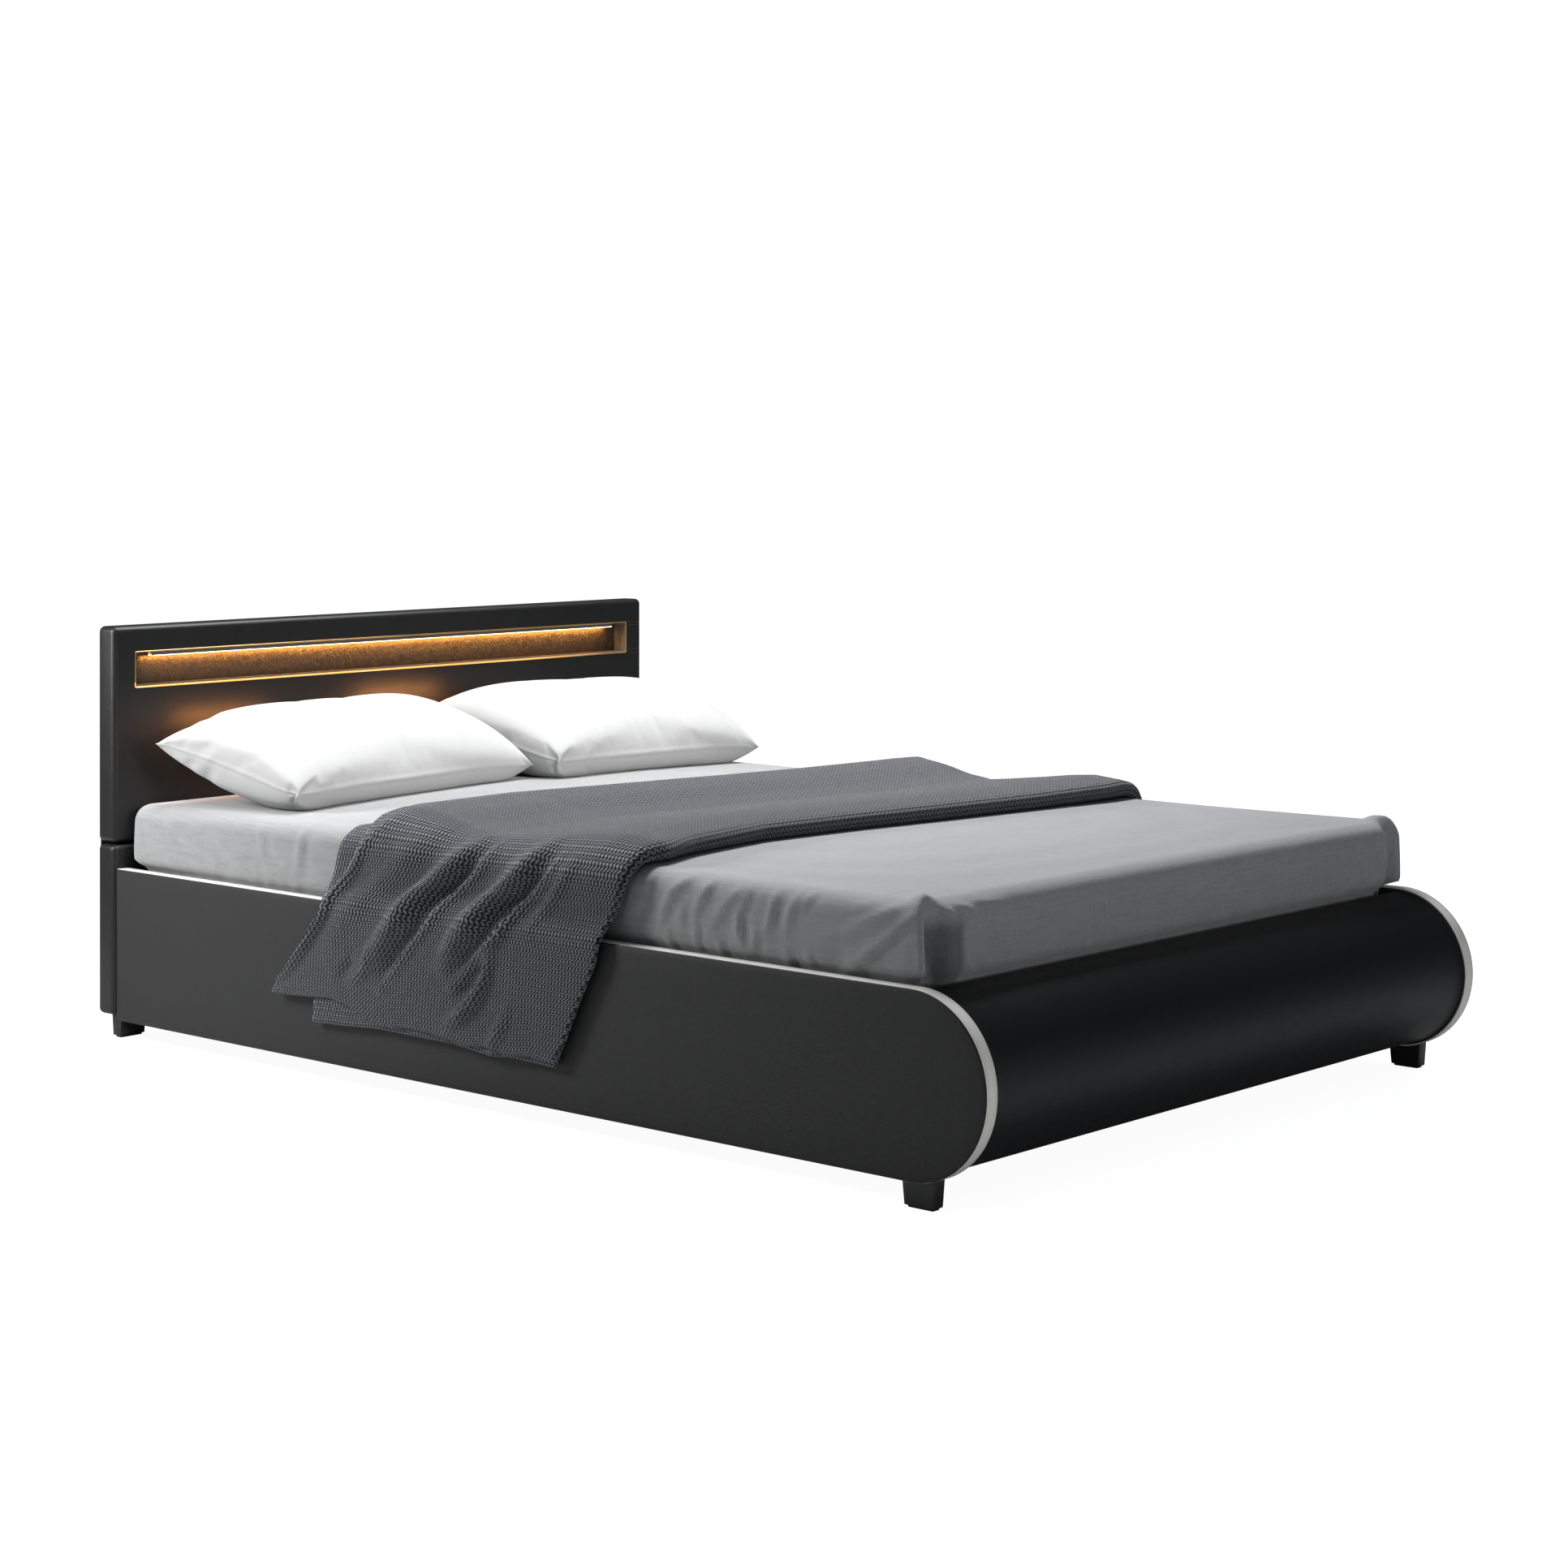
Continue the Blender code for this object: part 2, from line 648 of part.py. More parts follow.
def band_outline():
    """A strip on the panel's edge, from the headboard over the roll and a little way back below."""
    centre = (FOOT_BOARD_FACE, ROLL_AXIS_Z)
    tail = FOOT_BOARD_FACE + FRONT_FOOT_FACE - FRONT_FOOT_LENGTH - FOOT_TAPER
    inner = ROLL_RADIUS - EDGE_WRAP + TOUCH
    outer_line = [(TOUCH, RAIL_TOP)] + arc(centre, ROLL_RADIUS, math.pi / 2, -math.pi / 2, ARC_STEPS)
    inner_line = [(TOUCH, ROLL_AXIS_Z + inner)] + arc(centre, inner, math.pi / 2, -math.pi / 2, ARC_STEPS)
    return outer_line + [(tail, RAIL_BOTTOM), (tail, ROLL_AXIS_Z - inner)] + inner_line[::-1]


HEAD_BOARD_FACE = TOUCH + HEAD_BOARD_THICKNESS
FLOOR_BASE = RAIL_BOTTOM + EDGE_WRAP
LEDGE_TOP = FLOOR_BASE + LEDGE_SIZE
BOX_HEAD = HEAD_BOARD_FACE + TOUCH
BOX_FOOT = FOOT_BOARD_FACE - TOUCH

for word, side in SIDES:
    board_outer = RAIL_INNER + SIDE_BOARD_THICKNESS
    side_board = piece(
        "side_board_" + word,
        prism(side_outline(EDGE_WRAP), side * RAIL_INNER, side * board_outer),
        "dark_board",
    )
    ledge = helper(
        "floor_ledge_" + word,
        box((side * (RAIL_INNER - LEDGE_SIZE), y_at(BOX_FOOT), FLOOR_BASE),
            (side * (RAIL_INNER + LEDGE_ROOT), y_at(BOX_HEAD), LEDGE_TOP)),
    )
    combine(side_board, ledge, "UNION")
    rim = RAIL_OUTER - COVER_RIM_WIDTH
    steps = [(board_outer + TOUCH, EDGE_WRAP), (rim, EDGE_WRAP), (rim, 0.0),
             (RAIL_OUTER - COVER_SOFT_EDGE, 0.0), (RAIL_OUTER, COVER_SOFT_EDGE)]
    piece(
        "side_cover_" + word,
        loft([[at(side * x, spot) for spot in side_outline(inset)] for x, inset in steps]),
        "charcoal_leatherette",
    )
    piece(
        "edge_band_" + word,
        prism(band_outline(), side * RAIL_INNER, side * (rim - TOUCH)),
        "band_leatherette",
    )

# Foot roll: a curved skin over D-shaped formers, on the foot board

ROLL_CENTRE = (FOOT_BOARD_FACE, ROLL_AXIS_Z)
SKIN_OUTER = ROLL_RADIUS - ROLL_DROP
SKIN_INNER = SKIN_OUTER - ROLL_SKIN_THICKNESS
ROLL_HALF = RAIL_INNER - TOUCH
skin_outline = arc(ROLL_CENTRE, SKIN_OUTER, math.pi / 2, -math.pi / 2, ARC_STEPS) + arc(
    ROLL_CENTRE, SKIN_INNER, -math.pi / 2, math.pi / 2, ARC_STEPS
)
piece("roll_skin", prism(skin_outline, -ROLL_HALF, ROLL_HALF), "black_leatherette")

# Foot board with the ribs that shape the roll and the ledge that the lift frame rests on
BOARD_BACK = FOOT_BOARD_FACE + FOOT_BOARD_THICKNESS
board_rise = math.sqrt((SKIN_INNER - TOUCH) ** 2 - FOOT_BOARD_THICKNESS ** 2)
foot_frame = piece(
    "foot_frame",
    box((-ROLL_HALF, y_at(BOARD_BACK), ROLL_AXIS_Z - board_rise),
        (ROLL_HALF, y_at(FOOT_BOARD_FACE), ROLL_AXIS_Z + board_rise)),
    "dark_board",
)


def rib_outline():
    """A rib inside the roll, rooted in the foot board."""
    radius = SKIN_INNER - TOUCH
    turn = math.asin((FOOT_BOARD_THICKNESS - LEDGE_ROOT) / radius)
    return arc(ROLL_CENTRE, radius, math.pi / 2 - turn, turn - math.pi / 2, ARC_STEPS // 2)


ribs = bmesh.new()
rib_span = 2 * ROLL_HALF - RIB_THICKNESS
for index in range(RIB_COUNT):
    middle = rib_span * (index / (RIB_COUNT - 1) - 1 / 2)
    add_prism(ribs, rib_outline(), middle - RIB_THICKNESS / 2, middle + RIB_THICKNESS / 2)
combine(foot_frame, helper("roll_ribs", ribs), "UNION")
foot_ledge = helper(
    "foot_ledge",
    box((-ROLL_HALF + MECHANISM_GAP, y_at(FOOT_BOARD_FACE + LEDGE_ROOT), TUBE_BASE - TOUCH - LEDGE_SIZE),
        (ROLL_HALF - MECHANISM_GAP, y_at(FOOT_BOARD_FACE - LEDGE_SIZE - FOOT_GAP), TUBE_BASE - TOUCH)),
)
combine(foot_frame, foot_ledge, "UNION")

# Box floor and the boards that close the box

INNER_HALF = RAIL_INNER - TOUCH
piece(
    "head_cross_board",
    box((-INNER_HALF, y_at(HEAD_BOARD_FACE), FLOOR_BASE),
        (INNER_HALF, y_at(TOUCH), FLOOR_BASE + HEAD_BOARD_HEIGHT)),
    "dark_board",
)
floor_beam = piece(
    "floor_centre_beam",
    box((-BEAM_WIDTH / 2, y_at(BOX_FOOT), FLOOR_BASE), (BEAM_WIDTH / 2, y_at(BOX_HEAD), LEDGE_TOP)),
    "beech",
)
legs = bmesh.new()
leg_pitch = (BOX_FOOT - BOX_HEAD) / (LEG_COUNT + 1)
leg_top = FLOOR_BASE + LEDGE_ROOT
for index in range(LEG_COUNT):
    add_turned(
        legs,
        [(0, 0), (LEG_PAD_RADIUS, 0), (LEG_PAD_RADIUS, LEG_PAD_HEIGHT), (LEG_RADIUS, LEG_PAD_HEIGHT),
         (LEG_RADIUS, leg_top), (0, leg_top)],
        (0, y_at(BOX_HEAD + leg_pitch * (index + 1)), 0), (0, 0, 1),
    )
combine(floor_beam, helper("centre_legs", legs), "UNION")
for word, side in SIDES:
    piece(
        "floor_panel_" + word,
        box((side * TOUCH, y_at(BOX_FOOT), LEDGE_TOP + TOUCH),
            (side * INNER_HALF, y_at(BOX_HEAD), LEDGE_TOP + TOUCH + FLOOR_PANEL_THICKNESS)),
        "dark_board",
    )

# Steel angles in the four corners
for word, side in SIDES:
    for end, face, step in (("head", BOX_HEAD, 1), ("foot", BOX_FOOT, -1)):
        edge = side * INNER_HALF
        inward = side * (INNER_HALF - BRACKET_THICKNESS)
        reach = side * (INNER_HALF - BRACKET_REACH)
        corner = [(edge, y_at(face)), (reach, y_at(face)), (reach, y_at(face + step * BRACKET_THICKNESS)),
                  (inward, y_at(face + step * BRACKET_THICKNESS)),
                  (inward, y_at(face + step * BRACKET_REACH)),
                  (edge, y_at(face + step * BRACKET_REACH))]
        heights = (BRACKET_BASE, BRACKET_BASE + BRACKET_HEIGHT)
        piece("corner_bracket_" + end + "_" + word, loft([[(x, y, z) for x, y in corner] for z in heights]),
              "zinc_steel")


# Feet and glides

def underside(from_head):
    """Height of the side panel's underside, which rises round the roll."""
    past = max(from_head - FOOT_BOARD_FACE, 0.0)
    return ROLL_AXIS_Z - math.sqrt(ROLL_RADIUS ** 2 - past ** 2)


def foot_piece(name, x_low, x_high, head_end, foot_end, seat):
    """A tapered block whose top follows what it is screwed to, on a smaller glide pad."""
    rings = []
    for index in range(FOOT_SEAT_STEPS + 1):
        share = index / FOOT_SEAT_STEPS
        base = head_end + (foot_end - head_end) * share
        top = base + FOOT_TAPER * (2 * share - 1)
        rings.append([(x_low, y_at(base), GLIDE_HEIGHT), (x_high, y_at(base), GLIDE_HEIGHT),
                      (x_high, y_at(top), seat(top) - TOUCH), (x_low, y_at(top), seat(top) - TOUCH)])
    foot = piece(name, loft(rings), "black_plastic")
    glide = helper(
        "glide_" + name,
        box((x_low + GLIDE_INSET, y_at(foot_end - GLIDE_INSET), 0),
            (x_high - GLIDE_INSET, y_at(head_end + GLIDE_INSET), GLIDE_HEIGHT + LEDGE_ROOT)),
    )
    combine(foot, glide, "UNION")


for word, side in SIDES:
    outer = RAIL_OUTER - COVER_SOFT_EDGE
    spans = sorted((side * outer, side * (outer - FRONT_FOOT_WIDTH)))
    foot_end = FOOT_BOARD_FACE + FRONT_FOOT_FACE
    foot_piece("foot_front_" + word, *spans, foot_end - FRONT_FOOT_LENGTH, foot_end, underside)
    outer = RAIL_OUTER - HEAD_FOOT_INSET
    spans = sorted((side * outer, side * (outer - HEAD_FOOT_WIDTH)))
    foot_end = -HEAD_FOOT_SETBACK - FOOT_TAPER
    foot_piece("foot_head_" + word, *spans, foot_end - HEAD_FOOT_LENGTH, foot_end, lambda _: HEADBOARD_BOTTOM)

# Planes of the lift mechanism, counted inwards from the rail

PLATE_X = RAIL_INNER - TOUCH
SHORT_X = PLATE_X - PLATE_THICKNESS - RUNNING_GAP
LONG_X = SHORT_X - ARM_THICKNESS - RUNNING_GAP
BRACKET_X = LONG_X - ARM_THICKNESS - RUNNING_GAP
FRAME_OUTER = BRACKET_X - PLATE_THICKNESS
STRUT_X = FRAME_OUTER - RUNNING_GAP - CYLINDER_RADIUS


def moved(spot, offset):
    return (spot[0] + offset[0], spot[1] + offset[1])


def pin(x_from, x_to, spot, radius, side, head=0.0):
    """A stud along X; with a head it ends in a flat cap past its tip."""
    length = abs(x_to - x_from)
    direction = side * (1 if x_to > x_from else -1)
    profile = rod_profile(radius, length)
    if head:
        profile = [(0, 0), (radius, 0), (radius, length), (PIN_HEAD_RADIUS, length),
                   (PIN_HEAD_RADIUS, length + head), (0, length + head)]
    return turned(profile, at(side * x_from, spot), (direction, 0, 0))


def weld(owner, name, bm):
    combine(owner, helper(name, bm), "UNION")


def cut(owner, name, bm):
    combine(owner, helper(name, bm), "DIFFERENCE")


def drill(owner, name, spot, radius, x_low, x_high, side):
    bore = turned(rod_profile(radius, x_high - x_low + 2 * CUT_OVERRUN),
                  at(side * (x_low - CUT_OVERRUN), spot), (side, 0, 0))
    cut(owner, name, bore)


def eye_body(x_middle, side, spot, radius, thickness):
    return turned(rod_profile(radius, thickness), at(side * (x_middle - thickness / 2), spot), (side, 0, 0))


# Lift frame: square tubes welded into a grid, with the lift brackets on its sides

TUBE_INNER = FRAME_OUTER - TUBE_WIDTH
FRAME_HEAD = FRAME_HEAD_GAP
FRAME_FOOT = FOOT_BOARD_FACE - FRAME_FOOT_GAP
TUBE_TOP = TUBE_BASE + TUBE_HEIGHT
SPINE_HEAD = FRAME_HEAD + TUBE_WIDTH
SPINE_FOOT = FRAME_FOOT - TUBE_WIDTH
CENTRE_HALF = CENTRE_TUBE_WIDTH / 2
CROSS_HALF = TUBE_WIDTH / 2
cross_places = [SPINE_HEAD + (SPINE_FOOT - SPINE_HEAD) * share for share in CROSS_TUBE_SHARES]
platform = empty("platform_pivot", at(0, LONG_ARM_TOP))


def tube_spans(grow, reach):
    """The grid's tubes by name: grow thickens them, reach lengthens their ends into each other."""
    low, high = TUBE_BASE - grow, TUBE_TOP + grow
    spans = {}
    for word, side in SIDES:
        spans["side_" + word] = [((side * (TUBE_INNER - grow), y_at(FRAME_FOOT + reach), low),
                                  (side * (FRAME_OUTER + grow), y_at(FRAME_HEAD - reach), high))]
    wide = TUBE_INNER + reach
    spans["head"] = [((-wide, y_at(SPINE_HEAD + grow), low), (wide, y_at(FRAME_HEAD - grow), high))]
    spans["foot"] = [((-wide, y_at(FRAME_FOOT + grow), low), (wide, y_at(SPINE_FOOT - grow), high))]
    spans["centre"] = [((-CENTRE_HALF - grow, y_at(SPINE_FOOT + reach), low),
                        (CENTRE_HALF + grow, y_at(SPINE_HEAD - reach), high))]
    spans["cross"] = [
        ((side * (CENTRE_HALF - reach), y_at(place + CROSS_HALF + grow), low),
         (side * wide, y_at(place - CROSS_HALF - grow), high))
        for _, side in SIDES for place in cross_places
    ]
    return spans


solid_tubes = tube_spans(0, WELD_ROOT)
low, high = tube_spans(0, 0)["side_left"][0]
lift_frame = piece("lift_frame", box(low, high), "black_steel", platform.location, platform)
solid_tubes["side_right"] = tube_spans(0, 0)["side_right"]
for word in ("side_right", "head", "foot", "centre", "cross"):
    weld(lift_frame, "tube_" + word, boxes(solid_tubes[word]))

# Plastic sockets on the side tubes take the slats' ends, and pads on the centre tube carry their middles
SOCKET_SHUT = FRAME_OUTER - SOCKET_INSET
SOCKET_OPEN = SOCKET_SHUT - SOCKET_DEPTH
SLAT_BASE = TUBE_TOP + SOCKET_WALL + TOUCH
SLAT_END = SOCKET_SHUT - SOCKET_WALL - TOUCH
SLAT_PITCH = (SPINE_FOOT - SPINE_HEAD - SLAT_WIDTH) / (SLAT_COUNT - 1)
SOCKET_TOP = SLAT_BASE + SLAT_THICKNESS + TOUCH + SOCKET_WALL
slat_places = [SPINE_HEAD + SLAT_WIDTH / 2 + SLAT_PITCH * index for index in range(SLAT_COUNT)]


def add_socket(bm, side, middle):
    """A cap open on its inner side, whose pocket takes the slat's end."""
    half = SLAT_WIDTH / 2 + SOCKET_WALL + TOUCH
    shut, mouth, floor = SOCKET_SHUT, SOCKET_OPEN, SOCKET_SHUT - SOCKET_WALL

    def ring(x, inset, base):
        return [bm.verts.new((side * x, y_at(middle + half - inset), base)),
                bm.verts.new((side * x, y_at(middle - half + inset), base)),
                bm.verts.new((side * x, y_at(middle - half + inset), SOCKET_TOP - inset)),
                bm.verts.new((side * x, y_at(middle + half - inset), SOCKET_TOP - inset))]

    root = TUBE_TOP - WELD_ROOT
    seat = TUBE_TOP + SOCKET_WALL
    rings = [ring(shut, 0, root), ring(mouth, 0, root),
             ring(mouth, SOCKET_WALL, seat), ring(floor, SOCKET_WALL, seat)]
    bm.faces.new(rings[0])
    for here, after in zip(rings, rings[1:]):
        for i in range(len(here)):
            j = (i + 1) % len(here)
            bm.faces.new((here[i], here[j], after[j], after[i]))
    bm.faces.new(rings[-1])
    bmesh.ops.recalc_face_normals(bm, faces=bm.faces)


sockets = bmesh.new()
pads = bmesh.new()
for place in slat_places:
    for _, side in SIDES:
        add_socket(sockets, side, place)
    add_box(pads, (-CENTRE_HALF + SOCKET_INSET, y_at(place + SLAT_WIDTH / 2), TUBE_TOP - WELD_ROOT),
            (CENTRE_HALF - SOCKET_INSET, y_at(place - SLAT_WIDTH / 2), SLAT_BASE + SLAT_BOW - TOUCH))
weld(lift_frame, "slat_sockets", sockets)
weld(lift_frame, "slat_pads", pads)

for word, side in SIDES:
    corner_spot = (STRUT_TOP[0] - EYE_RADIUS, TUBE_TOP - BRACKET_MARGIN)
    weld(lift_frame, "bracket_plate_" + word,
         prism(hull_outline([LONG_ARM_TOP, SHORT_ARM_TOP, STRUT_TOP, corner_spot], BRACKET_MARGIN),
               side * (FRAME_OUTER - WELD_ROOT), side * BRACKET_X))
    root = BRACKET_X - PLATE_THICKNESS / 2
    weld(lift_frame, "pin_long_top_" + word, pin(root, LONG_X, LONG_ARM_TOP, PIN_RADIUS, side))
    weld(lift_frame, "pin_short_top_" + word, pin(root, SHORT_X, SHORT_ARM_TOP, PIN_RADIUS, side))
    weld(lift_frame, "pin_strut_top_" + word,
         pin(root, STRUT_X - EYE_THICKNESS / 2 - TOUCH, STRUT_TOP, STRUT_PIN_RADIUS, side, PIN_HEAD_HEIGHT))
for word, spans in tube_spans(-TUBE_WALL, 2 * TUBE_WALL).items():
    cut(lift_frame, "hollow_" + word, boxes(spans))


def slat_mesh(middle):
    """A bowed strip: straight in its sockets and arched between them."""
    stations = [(-SLAT_END, 0)]
    for step in range(SLAT_STEPS + 1):
        share = step / SLAT_STEPS
        stations.append((SOCKET_OPEN * (2 * share - 1), SLAT_BOW * 4 * share * (1 - share)))
    stations.append((SLAT_END, 0))
    rings = []
    for x, rise in stations:
        base = SLAT_BASE + rise
        near, far = y_at(middle + SLAT_WIDTH / 2), y_at(middle - SLAT_WIDTH / 2)
        rings.append([(x, near, base), (x, far, base),
                      (x, far, base + SLAT_THICKNESS), (x, near, base + SLAT_THICKNESS)])
    return loft(rings)


for index, place in enumerate(slat_places):
    piece("slat_" + str(index + 1).zfill(2), slat_mesh(place), "beech", platform.location, platform,
          math.radians(30))


def hoop_route():
    """Up from the head tube, across between the mattress and the headboard, and down again."""
    y = y_at(HOOP_SETBACK)
    corner = HOOP_CORNER
    points = [Vector((-HOOP_HALF_WIDTH, y, TUBE_BASE + HOOP_RADIUS))]
    for index in range(HOOP_CORNER_STEPS + 1):
        angle = math.pi - (math.pi / 2) * index / HOOP_CORNER_STEPS
        points.append(Vector((-HOOP_HALF_WIDTH + corner + corner * math.cos(angle), y,
                              HOOP_TOP - corner + corner * math.sin(angle))))
    mirrored = [Vector((-p.x, p.y, p.z)) for p in reversed(points)]
    return points + mirrored


def tube_along(points, radius, sides):
    """A round bar swept along points that lie in one plane facing Y."""
    rings = []
    for index, point in enumerate(points):
        before = points[max(index - 1, 0)]
        after = points[min(index + 1, len(points) - 1)]
        along = (after - before).normalized()
        out = along.cross(Vector((0, 1, 0)))
        rings.append([
            point + radius * (out * math.cos(2 * math.pi * k / sides)
                              + Vector((0, 1, 0)) * math.sin(2 * math.pi * k / sides))
            for k in range(sides)
        ])
    return loft(rings)


hoop = piece("mattress_hoop", tube_along(hoop_route(), HOOP_RADIUS, ROUND_SIDES // 2), "zinc_steel",
             platform.location, platform)
hoop_seat = bmesh.new()
for _, side in SIDES:
    add_box(hoop_seat, (side * HOOP_HALF_WIDTH - HOOP_RADIUS, y_at(FRAME_HEAD - TOUCH), TUBE_BASE),
            (side * HOOP_HALF_WIDTH + HOOP_RADIUS, y_at(HOOP_SETBACK), TUBE_TOP))
weld(hoop, "hoop_seat", hoop_seat)

# Lift mechanism, the same on both sides

strut_eye = moved(STRUT_TOP, STRUT_HOLE_OFFSET)
strut_run = Vector((0, y_at(strut_eye[0]) - y_at(STRUT_BASE[0]), strut_eye[1] - STRUT_BASE[1]))
STRUT_LENGTH = strut_run.length
strut_axis = strut_run.normalized()
CYLINDER_END = STRUT_LENGTH - EYE_RADIUS - ROD_SHOWING

for word, side in SIDES:
    base_plate = piece(
        "lift_base_plate_" + word,
        prism(hull_outline([LONG_ARM_BASE, SHORT_ARM_BASE, STRUT_BASE], BRACKET_MARGIN),
              side * (PLATE_X - PLATE_THICKNESS), side * PLATE_X),
        "black_steel",
    )
    plate_root = PLATE_X - PLATE_THICKNESS / 2
    weld(base_plate, "pin_long_base_" + word,
         pin(plate_root, LONG_X - ARM_THICKNESS - TOUCH, LONG_ARM_BASE, PIN_RADIUS, side, PIN_HEAD_HEIGHT))
    weld(base_plate, "pin_short_base_" + word,
         pin(plate_root, SHORT_X - ARM_THICKNESS, SHORT_ARM_BASE, PIN_RADIUS, side))
    weld(base_plate, "pin_strut_base_" + word,
         pin(plate_root, STRUT_X - EYE_THICKNESS / 2 - TOUCH, STRUT_BASE, STRUT_PIN_RADIUS, side,
             PIN_HEAD_HEIGHT))

    long_arm = piece(
        "lift_long_arm_" + word,
        prism(bar_outline(LONG_ARM_BASE, LONG_ARM_TOP, LONG_ARM_WIDTH),
              side * (LONG_X - ARM_THICKNESS), side * LONG_X),
        "black_steel", at(side * LONG_X, LONG_ARM_BASE),
    )
    drill(long_arm, "hole_long_base_" + word, LONG_ARM_BASE, PIN_RADIUS + TOUCH,
          LONG_X - ARM_THICKNESS, LONG_X, side)
    drill(long_arm, "hole_long_top_" + word, LONG_ARM_TOP, PIN_RADIUS + TOUCH,
          LONG_X - ARM_THICKNESS, LONG_X, side)

    short_arm = piece(
        "lift_short_arm_" + word,
        prism(bar_outline(SHORT_ARM_BASE, moved(SHORT_ARM_TOP, SHORT_ARM_HOLE_OFFSET), SHORT_ARM_WIDTH),
              side * (SHORT_X - ARM_THICKNESS), side * SHORT_X),
        "black_steel", at(side * SHORT_X, SHORT_ARM_BASE),
    )
    drill(short_arm, "hole_short_base_" + word, SHORT_ARM_BASE, PIN_RADIUS + TOUCH,
          SHORT_X - ARM_THICKNESS, SHORT_X, side)
    drill(short_arm, "hole_short_top_" + word, moved(SHORT_ARM_TOP, SHORT_ARM_HOLE_OFFSET),
          PIN_RADIUS + OPEN_PIVOT_CLEARANCE, SHORT_X - ARM_THICKNESS, SHORT_X, side)

    base_point = at(side * STRUT_X, STRUT_BASE)
    neck_start = EYE_RADIUS - CYLINDER_WALL
    cylinder = piece(
        "gas_cylinder_" + word,
        turned([(0, neck_start), (CYLINDER_NECK, neck_start), (CYLINDER_NECK, EYE_RADIUS + CYLINDER_NECK),
                (CYLINDER_RADIUS, EYE_RADIUS + CYLINDER_RADIUS),
                (CYLINDER_RADIUS, CYLINDER_END - CYLINDER_WALL),
                (CYLINDER_RADIUS - CYLINDER_WALL, CYLINDER_END), (0, CYLINDER_END)], base_point, strut_axis),
        "black_steel", base_point,
    )
    weld(cylinder, "eye_cylinder_" + word, eye_body(STRUT_X, side, STRUT_BASE, EYE_RADIUS, EYE_THICKNESS))
    drill(cylinder, "hole_cylinder_" + word, STRUT_BASE, STRUT_PIN_RADIUS + TOUCH,
          STRUT_X - EYE_THICKNESS / 2, STRUT_X + EYE_THICKNESS / 2, side)
    chamber = CYLINDER_RADIUS - CYLINDER_WALL
    bore_floor = CYLINDER_END - ROD_INSIDE - GLAND_LENGTH
    gland = ROD_RADIUS + TOUCH
    bore = turned([(0, bore_floor), (chamber, bore_floor), (chamber, CYLINDER_END - GLAND_LENGTH),
                   (gland, CYLINDER_END - GLAND_LENGTH), (gland, CYLINDER_END + CUT_OVERRUN),
                   (0, CYLINDER_END + CUT_OVERRUN)], base_point, strut_axis)
    combine(cylinder, helper("bore_" + word, bore), "DIFFERENCE")

    rod_tip = CYLINDER_END - ROD_INSIDE
    piston = chamber - TOUCH
    rod = piece(
        "gas_rod_" + word,
        turned([(0, rod_tip), (piston, rod_tip), (piston, rod_tip + CYLINDER_WALL),
                (ROD_RADIUS, rod_tip + CYLINDER_WALL),
                (ROD_RADIUS, STRUT_LENGTH - EYE_RADIUS + CYLINDER_WALL),
                (0, STRUT_LENGTH - EYE_RADIUS + CYLINDER_WALL)], base_point, strut_axis),
        "bright_rod", base_point,
    )
    weld(rod, "eye_rod_" + word, eye_body(STRUT_X, side, strut_eye, EYE_RADIUS, EYE_THICKNESS))
    drill(rod, "hole_rod_" + word, strut_eye, STRUT_PIN_RADIUS + STRUT_CLEARANCE,
          STRUT_X - EYE_THICKNESS / 2, STRUT_X + EYE_THICKNESS / 2, side)

# Mattress in its fitted sheet: crowned on top, full at the sides, drawn in at the corners

MATTRESS_BASE = SLAT_BASE + SLAT_THICKNESS + SLAT_BOW + TOUCH
MATTRESS_EDGE_Z = MATTRESS_BASE + MATTRESS_THICKNESS
MATTRESS_Y = y_at(HEAD_GAP + MATTRESS_LENGTH / 2)


def mattress_ring(z, inset, bulge):
    """A rounded rectangle; between the corners its sides stand out by the bulge."""
    half_x = MATTRESS_WIDTH / 2 - MATTRESS_BULGE - inset
    half_y = MATTRESS_LENGTH / 2 - MATTRESS_BULGE - inset
    corner = max(MATTRESS_CORNER - inset / 2, MATTRESS_CORNER / 4)
    points = []
    for quarter in range(4):
        turn = quarter * math.pi / 2
        sign_x = 1 if quarter in (0, 3) else -1
        sign_y = 1 if quarter in (0, 1) else -1
        centre = (sign_x * (half_x - corner), sign_y * (half_y - corner))
        for step in range(CORNER_POINTS + 1):
            angle = turn + (math.pi / 2) * step / CORNER_POINTS
            points.append((centre[0] + corner * math.cos(angle), centre[1] + corner * math.sin(angle)))
        next_x = -1 if quarter in (0, 1) else 1
        next_y = 1 if quarter in (0, 3) else -1
        next_centre = (next_x * (half_x - corner), next_y * (half_y - corner))
        if quarter in (1, 3):
            next_centre = (centre[0], -centre[1])
        out = (math.cos(turn + math.pi / 2), math.sin(turn + math.pi / 2))
        for step in range(1, SIDE_POINTS + 1):
            share = step / (SIDE_POINTS + 1)
            swell = bulge * math.sin(math.pi * share) ** 0.5
            points.append((
                centre[0] + (next_centre[0] - centre[0]) * share + out[0] * (corner + swell),
                centre[1] + (next_centre[1] - centre[1]) * share + out[1] * (corner + swell),
            ))
    return [Vector((x, MATTRESS_Y + y, z)) for x, y in points]


